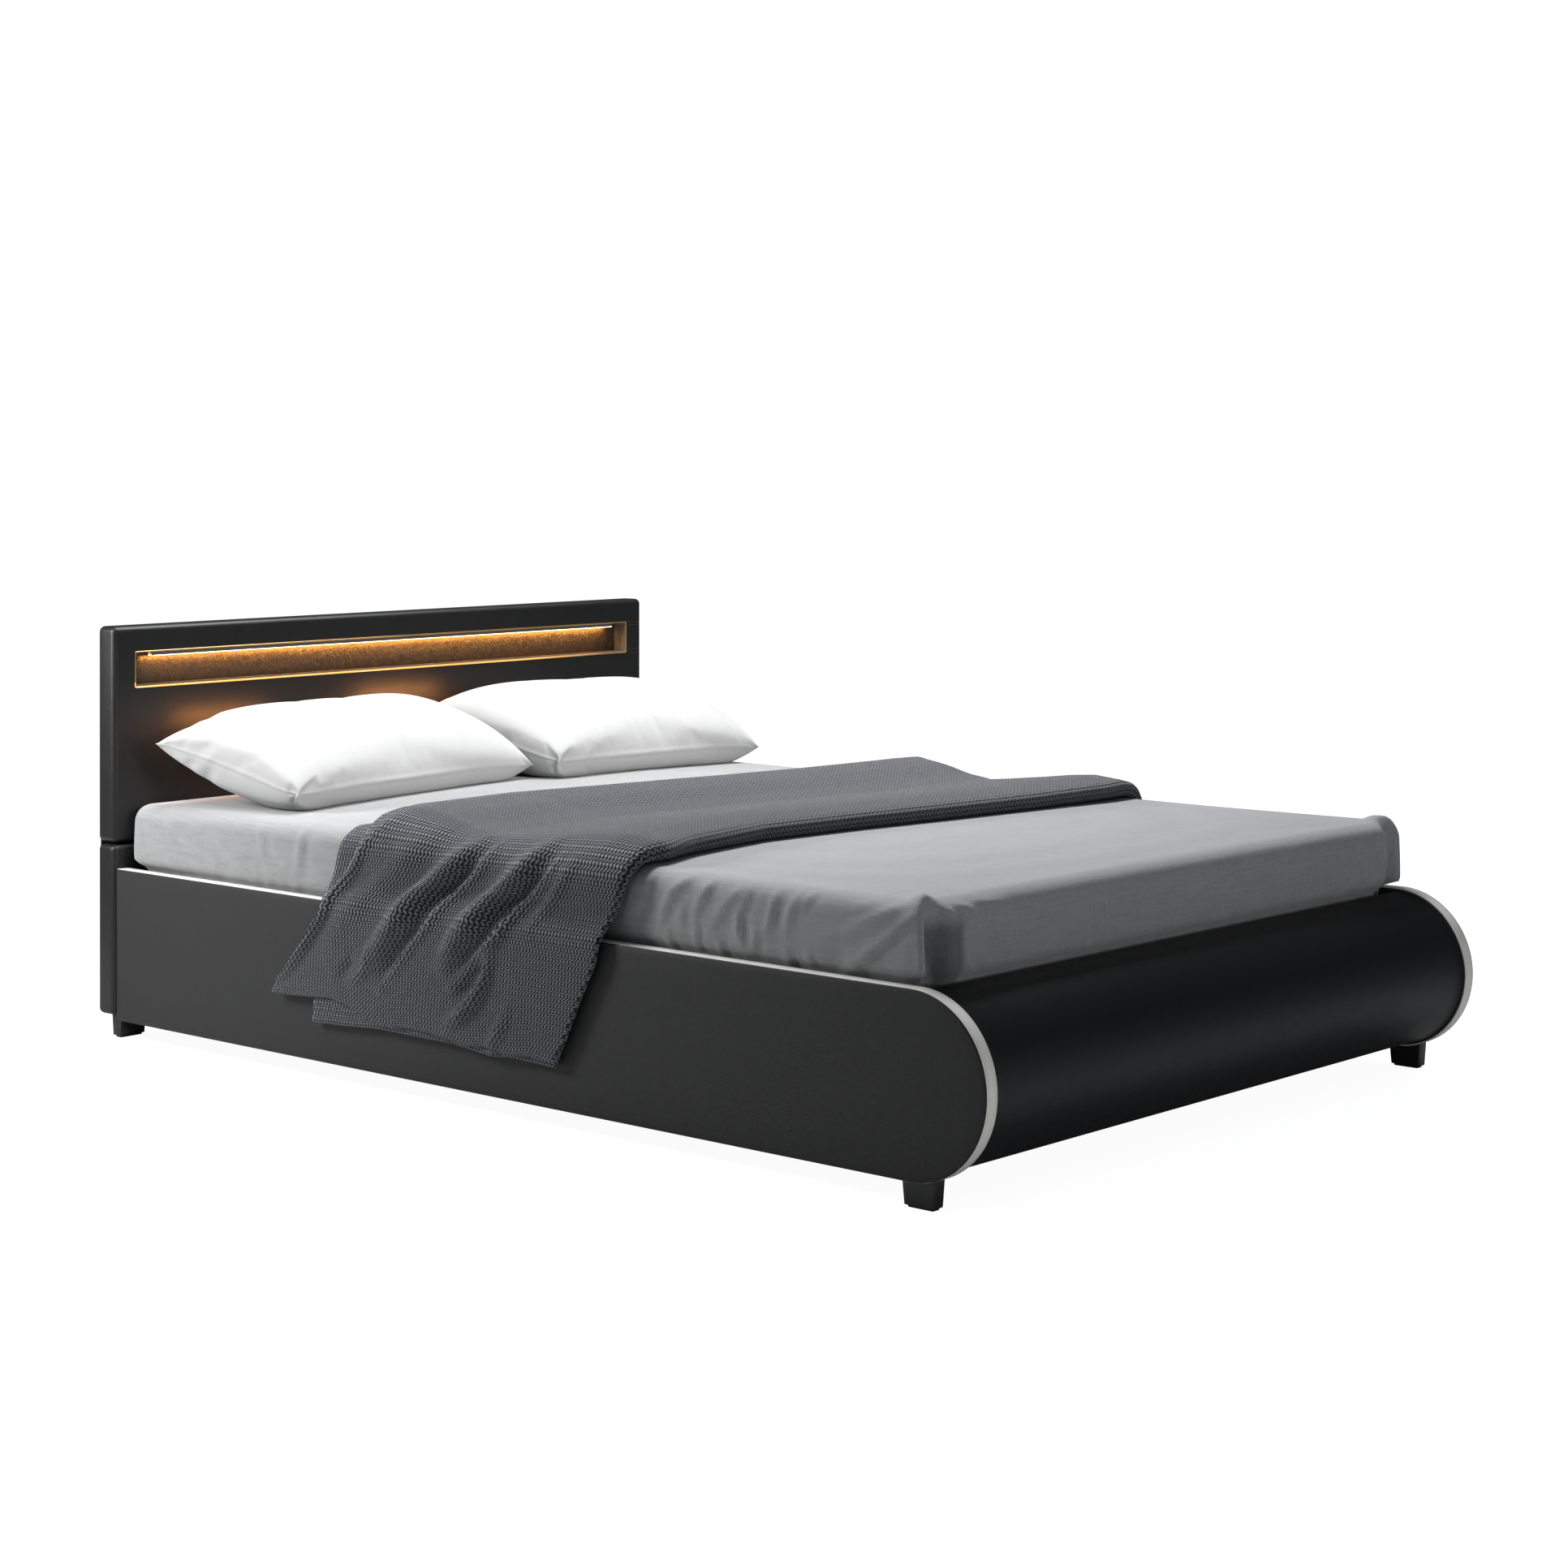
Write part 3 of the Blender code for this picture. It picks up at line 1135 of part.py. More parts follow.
shoulder = MATTRESS_SHOULDER
half_width = MATTRESS_WIDTH / 2
mattress_levels = [
    (MATTRESS_BASE + shoulder * rise, shoulder * inset, MATTRESS_BULGE * bulge)
    for rise, inset, bulge in MATTRESS_LOW_SHARES
]
mattress_levels.append((MATTRESS_BASE + MATTRESS_THICKNESS * MATTRESS_FULLEST_SHARE, 0.0, MATTRESS_BULGE))
mattress_levels += [
    (MATTRESS_EDGE_Z - shoulder * drop, shoulder * inset, MATTRESS_BULGE * bulge)
    for drop, inset, bulge in MATTRESS_HIGH_SHARES
]
mattress_levels += [
    (MATTRESS_EDGE_Z + MATTRESS_CROWN * rise, half_width * inset, 0.0)
    for rise, inset in MATTRESS_CROWN_SHARES
]
mattress = piece("mattress", loft([mattress_ring(*level) for level in mattress_levels]), "grey_sheet",
                 platform.location, platform, math.radians(60))

surface = bmesh.new()
surface.from_mesh(mattress.data)
bmesh.ops.translate(surface, verts=surface.verts, vec=platform.location)
mattress_tree = BVHTree.FromBMesh(surface)
surface.free()


def mattress_height(x, y):
    """Height of the mattress top at a place, or of its base where it isn't there."""
    hit = mattress_tree.ray_cast(Vector((x, y, HEADBOARD_TOP)), Vector((0, 0, -1)))[0]
    return hit.z if hit else MATTRESS_BASE


# Pillows: pinched corners, edges drawn in between them, flat where they rest

def pillow_mesh(corners):
    """A cushion whose rim runs through its four corners, each (x, y, rise above the mattress edge)."""
    bm = bmesh.new()
    near_outer, near_inner, far_inner, far_outer = (Vector(c) for c in corners)
    rims, tops, unders = {}, {}, {}
    for row in range(PILLOW_ROWS + 1):
        for column in range(PILLOW_COLUMNS + 1):
            s, t = 2 * column / PILLOW_COLUMNS - 1, 2 * row / PILLOW_ROWS - 1
            s, t = math.sin(s * math.pi / 2), math.sin(t * math.pi / 2)
            across = s * (1 - PILLOW_DRAW_SHARE * (1 - t * t))
            along = t * (1 - 2 * PILLOW_DRAW_SHARE * (1 - s * s))
            near = near_outer.lerp(near_inner, (across + 1) / 2)
            far = far_outer.lerp(far_inner, (across + 1) / 2)
            place = near.lerp(far, (along + 1) / 2)
            place.z += MATTRESS_EDGE_Z
            fullness = ((1 - s * s) * (1 - t * t)) ** PILLOW_FULLNESS_SHARE
            floor = mattress_height(place.x, place.y) + PILLOW_REST_GAP
            key = (row, column)
            if row in (0, PILLOW_ROWS) or column in (0, PILLOW_COLUMNS):
                rims[key] = bm.verts.new(Vector((place.x, place.y, max(place.z, floor))))
                continue
            tops[key] = bm.verts.new(place + Vector((0, 0, PILLOW_TOP * fullness)))
            under = max(place.z - PILLOW_UNDER * fullness, floor)
            unders[key] = bm.verts.new(Vector((place.x, place.y, under)))
    for side in (tops, unders):
        grid = {**rims, **side}
        for row in range(PILLOW_ROWS):
            for column in range(PILLOW_COLUMNS):
                bm.faces.new((grid[row, column], grid[row, column + 1],
                              grid[row + 1, column + 1], grid[row + 1, column]))
    return bm


for word, places in PILLOW_CORNERS.items():
    corners = [(x, y_at(distance), rise) for x, distance, rise in places]
    piece("pillow_" + word, pillow_mesh(corners), "white_cotton", platform.location, platform,
          math.radians(60))

# Throw: one folded sheet over the mattress and both rails, with slanting folds


def throw_path(hem):
    """Spots (x, z) of the sheet's underside from the bed's middle out to one hem."""
    top = MATTRESS_EDGE_Z + MATTRESS_CROWN + THROW_REST_GAP
    edge = MATTRESS_WIDTH / 2
    off = THROW_OFF_MATTRESS
    outside = RAIL_OUTER + THROW_OFF_RAIL
    drop = MATTRESS_SHOULDER
    rail_clear = RAIL_TOP + THROW_OFF_RAIL
    spots = [(edge * share, top) for share in THROW_TOP_SHARES]
    spots += [(edge + drop * inner + off * outer, top - drop * down)
              for inner, outer, down in THROW_EDGE_SHARES]
    spots.append((edge + MECHANISM_GAP, rail_clear + drop * THROW_DIP_SHARE))
    spots.append((RAIL_OUTER - off * THROW_RAIL_IN_SHARE, rail_clear + off * THROW_RAIL_RISE_SHARE))
    spots.append((outside, rail_clear - off * THROW_RAIL_DROP_SHARE))
    spots += [(outside, RAIL_TOP - RAIL_HEIGHT * share) for share in THROW_SIDE_SHARES]
    return spots + [(outside, (spots[-1][1] + hem) / 2), (outside, hem)]


def share_along(shares, place):
    """Read a table of shares at a place from zero to one."""
    scaled = place * (len(shares) - 1)
    index = min(int(scaled), len(shares) - 2)
    return shares[index] + (shares[index + 1] - shares[index]) * (scaled - index)


def throw_mesh():
    """Two skins, the lower one at rest on the bed, the upper one raised by the layers between."""
    bm = bmesh.new()
    left = [(-x, z) for x, z in throw_path(THROW_LEFT_HEM)][::-1]
    path = left[:-1] + throw_path(THROW_RIGHT_HEM)
    travelled = [0]
    for (ax, az), (bx, bz) in zip(path, path[1:]):
        travelled.append(travelled[-1] + math.hypot(bx - ax, bz - az))
    total = travelled[-1]
    middle = total / 2
    edge = MATTRESS_WIDTH / 2 - MATTRESS_SHOULDER
    inner_rows, outer_rows = [], []
    for index, (x, z) in enumerate(path):
        before, after = path[max(index - 1, 0)], path[min(index + 1, len(path) - 1)]
        along = Vector((after[0] - before[0], 0, after[1] - before[1])).normalized()
        out = Vector((-along.z, 0, along.x))
        share = travelled[index] / total
        head_edge = share_along(THROW_HEAD_EDGE_SHARES, share) * MATTRESS_LENGTH
        foot_edge = share_along(THROW_FOOT_EDGE_SHARES, share) * MATTRESS_LENGTH
        down = max(abs(travelled[index] - middle) - edge, 0)
        hang_share = down / (middle - edge)
        hem_rise = THROW_HEM_RISE if index in (0, len(path) - 1) else 0
        inner_row, outer_row = [], []
        for step in range(THROW_ACROSS + 1):
            across = step / THROW_ACROSS
            from_head = head_edge + (foot_edge - head_edge) * across
            wave = math.sin(math.pi * (from_head + THROW_SLANT_SHARE * down) / THROW_FOLD_PITCH) ** 2
            fold = THROW_FOLD_DEPTH * wave * math.sqrt(hang_share)
            loft_rise = THROW_LOFT * share_along(THROW_LOFT_SHARES, across) * (1 - hang_share)
            base = Vector((x, y_at(from_head), z + hem_rise * (1 - across)))
            if not down:
                base.z = max(base.z, mattress_height(base.x, base.y) + THROW_REST_GAP)
            inner_row.append(bm.verts.new(base + out * fold * THROW_SLANT_SHARE))
            outer_row.append(bm.verts.new(base + out * (fold + loft_rise + THROW_THICKNESS)))
        inner_rows.append(inner_row)
        outer_rows.append(outer_row)
    rows, columns = len(path), THROW_ACROSS + 1
    for grid in (inner_rows, outer_rows):
        for i in range(rows - 1):
            for j in range(columns - 1):
                bm.faces.new((grid[i][j], grid[i][j + 1], grid[i + 1][j + 1], grid[i + 1][j]))
    rim = [(i, 0) for i in range(rows)] + [(rows - 1, j) for j in range(1, columns)]
    rim += [(i, columns - 1) for i in range(rows - 2, -1, -1)] + [(0, j) for j in range(columns - 2, 0, -1)]
    for (i, j), (k, m) in zip(rim, rim[1:] + rim[:1]):
        bm.faces.new((inner_rows[i][j], inner_rows[k][m], outer_rows[k][m], outer_rows[i][j]))
    return bm


piece("throw", throw_mesh(), "blue_grey_knit", platform.location, platform, math.radians(60))
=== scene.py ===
"""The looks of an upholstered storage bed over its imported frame.

Lengths are metres. The head end is at +Y, the foot roll at -Y, the left side at -X and the floor at Z = 0.
"""

import math

import bmesh
import bpy
import numpy as np
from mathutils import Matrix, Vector
from mathutils.bvhtree import BVHTree


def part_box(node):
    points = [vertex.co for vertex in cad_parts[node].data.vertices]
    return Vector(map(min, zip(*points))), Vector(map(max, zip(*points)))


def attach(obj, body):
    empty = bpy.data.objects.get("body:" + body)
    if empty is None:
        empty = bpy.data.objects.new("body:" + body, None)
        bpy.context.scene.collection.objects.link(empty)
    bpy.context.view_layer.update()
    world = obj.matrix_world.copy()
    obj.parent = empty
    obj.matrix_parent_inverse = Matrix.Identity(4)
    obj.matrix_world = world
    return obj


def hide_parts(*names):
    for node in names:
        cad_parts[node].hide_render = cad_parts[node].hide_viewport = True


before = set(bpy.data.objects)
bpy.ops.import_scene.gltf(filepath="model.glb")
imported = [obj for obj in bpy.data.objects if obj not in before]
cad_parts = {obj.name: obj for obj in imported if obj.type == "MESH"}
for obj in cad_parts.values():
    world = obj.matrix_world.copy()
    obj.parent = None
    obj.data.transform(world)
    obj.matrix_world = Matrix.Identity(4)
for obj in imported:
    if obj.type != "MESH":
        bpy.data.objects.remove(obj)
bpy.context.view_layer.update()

# The view
# A camera stands level beside the near foot corner, and looks a little down the bed by a lens shift. The light
# is a lamp beside the head end, one over the bed, a low foot card, a narrow beam on the pillows and a dim sky.
# The floor is white to the camera, and reflects about half of what falls on it.
photo_side, focal_in_pixels, horizon_row = 1932, 3813.0, 546.24
lens = bpy.data.cameras.new("view")
lens.sensor_width = 36.0
lens.lens = lens.sensor_width * focal_in_pixels / photo_side
lens.shift_y = horizon_row / photo_side - 0.5


def placed(name, data):
    obj = bpy.data.objects.new(name, data)
    bpy.context.scene.collection.objects.link(obj)
    return obj


def from_points(name, points, faces):
    mesh = bpy.data.meshes.new(name)
    mesh.from_pydata([tuple(p) for p in points], [], faces)
    return placed(name, mesh)


camera = placed("view", lens)
camera.location = (-4.5014, -4.0393, 1.1956)
camera.rotation_euler = (math.radians(90), 0, math.radians(-48.445))
bpy.context.scene.camera = camera
bpy.context.scene.view_settings.view_transform = "Standard"


def soft_box(name, place, target, size, watts, colour=(1.0, 1.0, 1.0), spread=180):
    light = bpy.data.lights.new(name, "AREA")
    light.shape, light.energy, light.color, light.spread = "RECTANGLE", watts, colour, math.radians(spread)
    light.size, light.size_y = size
    lamp = placed(name, light)
    lamp.location, lamp.rotation_mode, lamp.visible_camera = place, "QUATERNION", False
    lamp.rotation_quaternion = (Vector(place) - Vector(target)).to_track_quat("Z", "Y")


soft_box("box_beside_head", (-1.65, 1.35, 1.10), (-0.7, 0.8, 0.42), (0.5, 0.5), 30)
soft_box("box_over_bed", (0.2, 0.50, 2.8), (0.2, 0.35, 0.0), (2.2, 0.9), 150, (0.97, 0.985, 1.0))
soft_box("card_at_foot", (-0.6, -4.0, 0.26), (0.0, -1.0, 0.12), (2.8, 0.45), 17)
soft_box("grid_on_pillows", (-0.10, -0.30, 0.84), (-0.02, 0.78, 0.53), (1.5, 0.16), 1.0, (1.0, 0.985, 0.965),
         spread=26)


def by_camera(tree, seen, unseen, end):
    """Show one shader to the camera, and give the other to all other rays."""
    ray, mix = tree.nodes.new("ShaderNodeLightPath"), tree.nodes.new("ShaderNodeMixShader")
    for out, socket in ((ray.outputs["Is Camera Ray"], mix.inputs["Fac"]), (unseen.outputs[0], mix.inputs[1]),
                        (seen.outputs[0], mix.inputs[2]), (mix.outputs[0], end.inputs["Surface"])):
        tree.links.new(out, socket)
    return ray


world = bpy.data.worlds.new("studio")
world.use_nodes = True
bpy.context.scene.world = world
sky_tree = world.node_tree
sky = sky_tree.nodes["Background"]
sky.inputs["Color"].default_value = (0.90, 0.94, 1.0, 1.0)
seen_sky = sky_tree.nodes.new("ShaderNodeBackground")
seen_sky.inputs["Color"].default_value = (1.0, 1.0, 1.0, 1.0)
ray = by_camera(sky_tree, seen_sky, sky, sky_tree.nodes["World Output"])
sky_strength, less_in_gloss = 0.22, -0.14
sky_level = sky_tree.nodes.new("ShaderNodeMath")
sky_level.operation = "MULTIPLY_ADD"
sky_level.inputs[1].default_value, sky_level.inputs[2].default_value = less_in_gloss, sky_strength
sky_tree.links.new(ray.outputs["Is Glossy Ray"], sky_level.inputs[0])
sky_tree.links.new(sky_level.outputs[0], sky.inputs["Strength"])

floor_half = 60
floor_corners = [(x * floor_half, y * floor_half, 0) for x, y in ((-1, -1), (1, -1), (1, 1), (-1, 1))]
floor = from_points("floor", floor_corners, [(0, 1, 2, 3)])
floor_paint = bpy.data.materials.new("floor_paint")
floor_paint.use_nodes = True
paint_tree = floor_paint.node_tree
white = paint_tree.nodes["Principled BSDF"]
for label, value in (("Base Color", (0.35, 0.35, 0.35, 1.0)), ("Roughness", 0.9), ("Specular IOR Level", 0.0),
                     ("Emission Color", (1.0, 1.0, 1.0, 1.0)), ("Emission Strength", 0.95)):
    white.inputs[label].default_value = value
bounce = paint_tree.nodes.new("ShaderNodeBsdfDiffuse")
bounce.inputs["Color"].default_value = (0.52, 0.52, 0.52, 1.0)
by_camera(paint_tree, white, bounce, paint_tree.nodes["Material Output"])
floor.data.materials.append(floor_paint)

# Side panels
# Each side is a board with thin foam under charcoal leatherette. Its foot end is cut round to carry the roll.
# The cover is pulled over the outer face and stapled behind, so its edges are soft.
rail_low, rail_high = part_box("side_cover_left")
roll_radius = (rail_high.z - rail_low.z) / 2
roll_z = (rail_high.z + rail_low.z) / 2
roll_y = rail_low.y + roll_radius
rail_head_y = rail_high.y
SIDES = (("left", -1), ("right", 1))


class Signal:
    """A shader output that takes part in sums, as a number would."""

    def __init__(self, finish, socket):
        self.finish, self.socket = finish, socket

    def maths(self, operation, *others, first=None):
        values = (self, *others) if first is None else (first, self)
        return self.finish.node("ShaderNodeMath", {"operation": operation}, dict(enumerate(values)))

    def __rsub__(self, other):
        return self.maths("SUBTRACT", first=other)

    def __abs__(self):
        return self.maths("ABSOLUTE")

    def part(self, axis):
        return self.finish.node("ShaderNodeSeparateXYZ", {}, {0: self}, axis)

    def wave(self, pitch):
        return (self * (2 * math.pi / pitch)).maths("SINE")

    def clipped(self):
        return self.finish.node("ShaderNodeClamp", {}, {"Value": self})

    def rise(self, start, end):
        """Zero before start, one after end, and smooth between."""
        return self.finish.node("ShaderNodeMapRange", {"interpolation_type": "SMOOTHSTEP"},
                                {"Value": self, "From Min": start, "From Max": end})


for method, operation in (("add", "ADD"), ("radd", "ADD"), ("sub", "SUBTRACT"), ("mul", "MULTIPLY"),
                          ("rmul", "MULTIPLY"), ("truediv", "DIVIDE"), ("pow", "POWER"), ("lt", "LESS_THAN"),
                          ("gt", "GREATER_THAN"), ("mod", "FLOORED_MODULO")):
    setattr(Signal, f"__{method}__", lambda one, other, operation=operation: one.maths(operation, other))


class Finish:
    """A material whose shader takes fixed numbers on its own sockets and signals where the surface varies."""

    def __init__(self, name, **fixed):
        self.material = bpy.data.materials.new(name)
        self.material.use_nodes = True
        self.tree = self.material.node_tree
        self.shader = self.tree.nodes["Principled BSDF"]
        for label, value in fixed.items():
            self.shader.inputs[label.replace("_", " ")].default_value = value

    def node(self, kind, settings, sockets, out=0):
        node = self.tree.nodes.new(kind)
        for label, value in settings.items():
            setattr(node, label, value)
        for label, value in sockets.items():
            self.join(value, node.inputs[label])
        return Signal(self, node.outputs[out])

    def join(self, value, socket):
        if isinstance(value, Signal):
            self.tree.links.new(value.socket, socket)
        else:
            socket.default_value = value

    def feed(self, label, value):
        self.join(value, self.shader.inputs[label])

    def place(self):
        """Where a point is on the bed, in metres."""
        return self.node("ShaderNodeTexCoord", {}, {}, "Object")

    def turned(self, vector, scale, angles=(0, 0, 0)):
        return self.node("ShaderNodeMapping", {}, {"Vector": vector, "Scale": scale, "Rotation": angles})

    def noise(self, vector, scale, detail=2.0, roughness=0.5):
        return self.node("ShaderNodeTexNoise", {}, {"Vector": vector, "Scale": scale, "Detail": detail,
                                                    "Roughness": roughness})

    def cells(self, vector, scale, feature="F1"):
        return self.node("ShaderNodeTexVoronoi", {"feature": feature}, {"Vector": vector, "Scale": scale},
                         "Distance")

    def shade(self, mask, low, high):
        """A colour between two, by a mask."""
        low, high = (colour if isinstance(colour, Signal) else (*colour, 1.0) for colour in (low, high))
        return self.node("ShaderNodeMix", {"data_type": "RGBA"}, {0: mask, 6: low, 7: high}, 2)

    def surface(self, mask, dark, light, roughness, height, depth):
        """A colour by a mask, a roughness, and a relief from a height signal, in metres at full scale."""
        self.feed("Base Color", self.shade(mask, dark, light))
        self.feed("Roughness", roughness)
        bump = {"Strength": 1.0, "Distance": depth, "Height": height}
        self.feed("Normal", self.node("ShaderNodeBump", {}, bump))

    def on(self, obj):
        if not obj.material_slots:
            obj.data.materials.append(self.material)
        for slot in obj.material_slots:
            slot.material = self.material


def leatherette(name, dark, light, roughness, seams=None):
    """Coated cloth with an embossed pore: rounded cells, a few fine wrinkles, and a slightly uneven gloss."""
    finish = Finish(name, Specular_IOR_Level=0.34)
    pore = 0.0012
    place = finish.place()
    broad, fine = finish.noise(place, 2.2, 3.0), finish.noise(place, 34.0, 4.0)
    crackle = finish.cells(place, 0.45 / pore, "DISTANCE_TO_EDGE").rise(0.0, 0.09)
    height = finish.cells(place, 1 / pore) * 0.6 + crackle * 0.6 + fine * 0.5
    if seams:
        height = height - seams(place) * 5.0
    gloss = roughness + (fine - 0.5) * 0.10 + (broad - 0.5) * 0.06 + (1.0 - crackle) * 0.05
    finish.surface(broad * 0.65 + fine * 0.35, dark, light, gloss, height, 0.00012)
    return finish


charcoal = leatherette("charcoal_leatherette", (0.0148, 0.0148, 0.0152), (0.0208, 0.0208, 0.0212), 0.58)


def deselect():
    if bpy.context.object and bpy.context.object.mode != "OBJECT":
        bpy.ops.object.mode_set(mode="OBJECT")
    bpy.ops.object.select_all(action="DESELECT")


def only(obj):
    """Leave edit mode with one object selected."""
    deselect()
    obj.select_set(True)
    bpy.context.view_layer.objects.active = obj


def pick_all():
    bpy.ops.object.mode_set(mode="EDIT")
    bpy.ops.mesh.select_all(action="SELECT")


def pick(obj, kind, test):
    """Select an object's faces by a test on their middle and normal, or its points, in edit mode."""
    bpy.ops.object.mode_set(mode="EDIT")
    mesh = bmesh.from_edit_mesh(obj.data)
    bpy.ops.mesh.select_mode(type={"faces": "FACE", "verts": "VERT"}[kind])
    bpy.ops.mesh.select_all(action="DESELECT")
    for part in getattr(mesh, kind):
        if kind == "verts":
            part.select = test(part.co)
        else:
            part.select_set(test(part.calc_center_median(), part.normal))
    mesh.select_flush_mode()
    bmesh.update_edit_mesh(obj.data)


def extrude(*way):
    bpy.ops.mesh.extrude_region_move(TRANSFORM_OT_translate={"value": way})


def face_out():
    pick_all()
    bpy.ops.mesh.normals_make_consistent(inside=False)


def named(name):
    """Name the newest object, and put its place and turn into the mesh."""
    obj = bpy.context.object
    obj.name = obj.data.name = name
    only(obj)
    bpy.ops.object.transform_apply(location=True, rotation=True, scale=True)
    return obj


def cube(name, low, high):
    """A box between two corners."""
    low, high = Vector(low), Vector(high)
    deselect()
    bpy.ops.mesh.primitive_cube_add(size=1, location=(low + high) / 2, scale=high - low)
    return named(name)


def modify(obj, kind, **settings):
    only(obj)
    step = obj.modifiers.new(kind.lower(), kind)
    for label, value in settings.items():
        setattr(step, label, value)
    bpy.ops.object.modifier_apply(modifier=step.name)


def soften(obj, width, segments, angle):
    modify(obj, "BEVEL", width=width, segments=segments, limit_method="ANGLE", angle_limit=math.radians(angle))


def smooth(obj, angle):
    only(obj)
    bpy.ops.object.shade_smooth_by_angle(angle=math.radians(angle))


pad_rise, pad_edge, pad_slope = 0.0010, 0.012, 0.030
rim_x, rim_gap, rim_wall = 0.7486, 0.0002, 0.0030
for word, side in SIDES:
    deselect()
    bpy.ops.mesh.primitive_circle_add(vertices=128, radius=roll_radius - rim_gap, fill_type="NGON",
                                      location=(side * rim_x, roll_y, roll_z), rotation=(0, math.pi / 2, 0))
    cover = named("cover_side_" + word)
    pick_all()
    bpy.ops.mesh.bisect(plane_co=(side * rim_x, roll_y, roll_z), plane_no=(0, 1, 0), clear_outer=True)
    extrude(0, rail_head_y - roll_y, 0)
    pick_all()
    bpy.ops.mesh.dissolve_faces()
    extrude(side * (-rail_low.x - rim_x - pad_rise), 0, 0)
    bpy.ops.mesh.inset(thickness=pad_edge)
    bpy.ops.transform.translate(value=(side * pad_rise, 0, 0))
    bpy.ops.mesh.inset(thickness=pad_slope)
    pick(cover, "faces", lambda middle, normal: abs(middle.x) < rim_x + 0.0001)
    bpy.ops.mesh.inset(thickness=rim_wall)
    bpy.ops.transform.translate(value=(side * (-rail_high.x - rim_x), 0, 0))
    face_out()
    soften(cover, 0.0022, 4, 50)
    smooth(cover, 40)
    charcoal.on(cover)
    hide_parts("side_cover_" + word)
    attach(cover, "base")

# Edge bands
# A light leatherette strip runs along the top of each side panel, round the roll and back underneath.
# It is folded in at both edges and sewn down with one row of stitches near each fold.
band_finish = Finish("band_leatherette", Specular_IOR_Level=0.4)
place = band_finish.place()
across, along_y, height = place.part("X"), place.part("Y"), place.part("Z")
turn = band_finish.node("ShaderNodeMath", {"operation": "ARCTAN2"}, {0: height - roll_z, 1: roll_y - along_y})
straight = (along_y > roll_y)
travel = straight * along_y + (1.0 - straight) * (roll_y + (turn - math.pi / 2) * roll_radius)
band_inner, band_outer, seam_inset = 0.7222, 0.7482, 0.0042
stitch_pitch, stitch_length, half_row = 0.0042, 0.0030, 0.00045
edge_line = abs(abs(across) - (band_outer + band_inner) / 2) - (band_outer - band_inner) / 2
row_mask = (abs(edge_line + seam_inset) < half_row)
stitch = row_mask * ((travel % stitch_pitch) < stitch_length)
soil, grain = band_finish.noise(place, 5.0, 4.0), band_finish.cells(place, 950.0)
strip_colour = band_finish.shade(soil, (0.66, 0.65, 0.61), (0.74, 0.73, 0.69))
band_finish.surface(stitch, strip_colour, (0.46, 0.45, 0.42), 0.48 + (soil - 0.5) * 0.12,
                    grain * 0.12 - row_mask * 0.5 + stitch * 0.9, 0.0004)

band_thick, start_length, under_length = 0.0026, 0.002, 0.0155
for word, side in SIDES:
    band_low, band_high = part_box("edge_band_" + word)
    band = cube("band_edge_" + word, (band_low.x, rail_head_y - start_length, band_high.z - band_thick),
                (band_high.x, rail_head_y, band_high.z))
    pick(band, "faces", lambda middle, normal: normal.y < -0.5)
    extrude(0, roll_y - rail_head_y + start_length, 0)
    bpy.ops.mesh.spin(steps=64, angle=math.pi, center=(0, roll_y, roll_z), axis=(-1, 0, 0))
    extrude(0, under_length, 0)
    pick_all()
    bpy.ops.mesh.remove_doubles(threshold=0.00001)
    face_out()
    soften(band, 0.0008, 3, 50)
    smooth(band, 40)
    band_finish.on(band)
    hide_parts("edge_band_" + word)
    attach(band, "base")

# Foot roll
# Black leatherette is stretched over a curved skin between the two bands, with a soft roll-in at each end.
# It is drawn over the crest and under the bed, so fine pleats stand beside the bands.
black = leatherette("black_leatherette", (0.0030, 0.0033, 0.0042), (0.0050, 0.0054, 0.0066), 0.47)
skin_low, skin_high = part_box("roll_skin")
deselect()
bpy.ops.mesh.primitive_cylinder_add(vertices=192, radius=(skin_high.z - skin_low.z) / 2,
                                    depth=skin_high.x - skin_low.x, end_fill_type="NOTHING",
                                    location=(0, roll_y, roll_z), rotation=(0, math.pi / 2, 0))
skin = named("skin_roll")
pick_all()
bpy.ops.mesh.bisect(plane_co=(0, roll_y, roll_z), plane_no=(0, 1, 0), clear_outer=True)
# Distance from the end, and the share of the full radius there
pleats = ((0.0006, 0.9860), (0.0040, 0.9945), (0.0080, 0.9975), (0.0110, 0.9962), (0.0140, 0.9988),
          (0.0170, 0.9978), (0.0210, 0.9996), (0.0240, 0.9988), (0.0290, 1.0), (0.0600, 1.0))
end_draw, skin_thick = 0.975, 0.008
for _, side in SIDES:
    for from_end, share in pleats:
        edge_x = side * (skin_high.x - from_end)
        bpy.ops.mesh.select_all(action="SELECT")
        bpy.ops.mesh.bisect(plane_co=(edge_x, roll_y, roll_z), plane_no=(1, 0, 0))
        bpy.ops.transform.resize(value=(1, share, share), center_override=(edge_x, roll_y, roll_z))
    pick(skin, "verts", lambda spot: side * spot.x > skin_high.x - 0.0003)
    bpy.ops.transform.resize(value=(1, end_draw, end_draw), center_override=(0, roll_y, roll_z))
modify(skin, "SOLIDIFY", thickness=skin_thick, offset=-1)
face_out()
smooth(skin, 50)
black.on(skin)
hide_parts("roll_skin")
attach(skin, "base")

# Box base and lift frame, as packed
# The boards and floor panels are faced with dark foil, and the lift frame, arms and cylinders are painted
# black. Slats are bent beech, the brackets and the hoop zinc plated, and the piston rods chromed.
foil = Finish("dark_foil", Specular_IOR_Level=0.35)
place = foil.place()
speck, cloud = foil.noise(place, 420.0), foil.noise(place, 4.0, 4.0)
foil.surface(speck * 0.5 + cloud * 0.5, (0.030, 0.030, 0.032), (0.052, 0.052, 0.055),
             0.55 + (cloud - 0.5) * 0.15, speck, 0.00008)


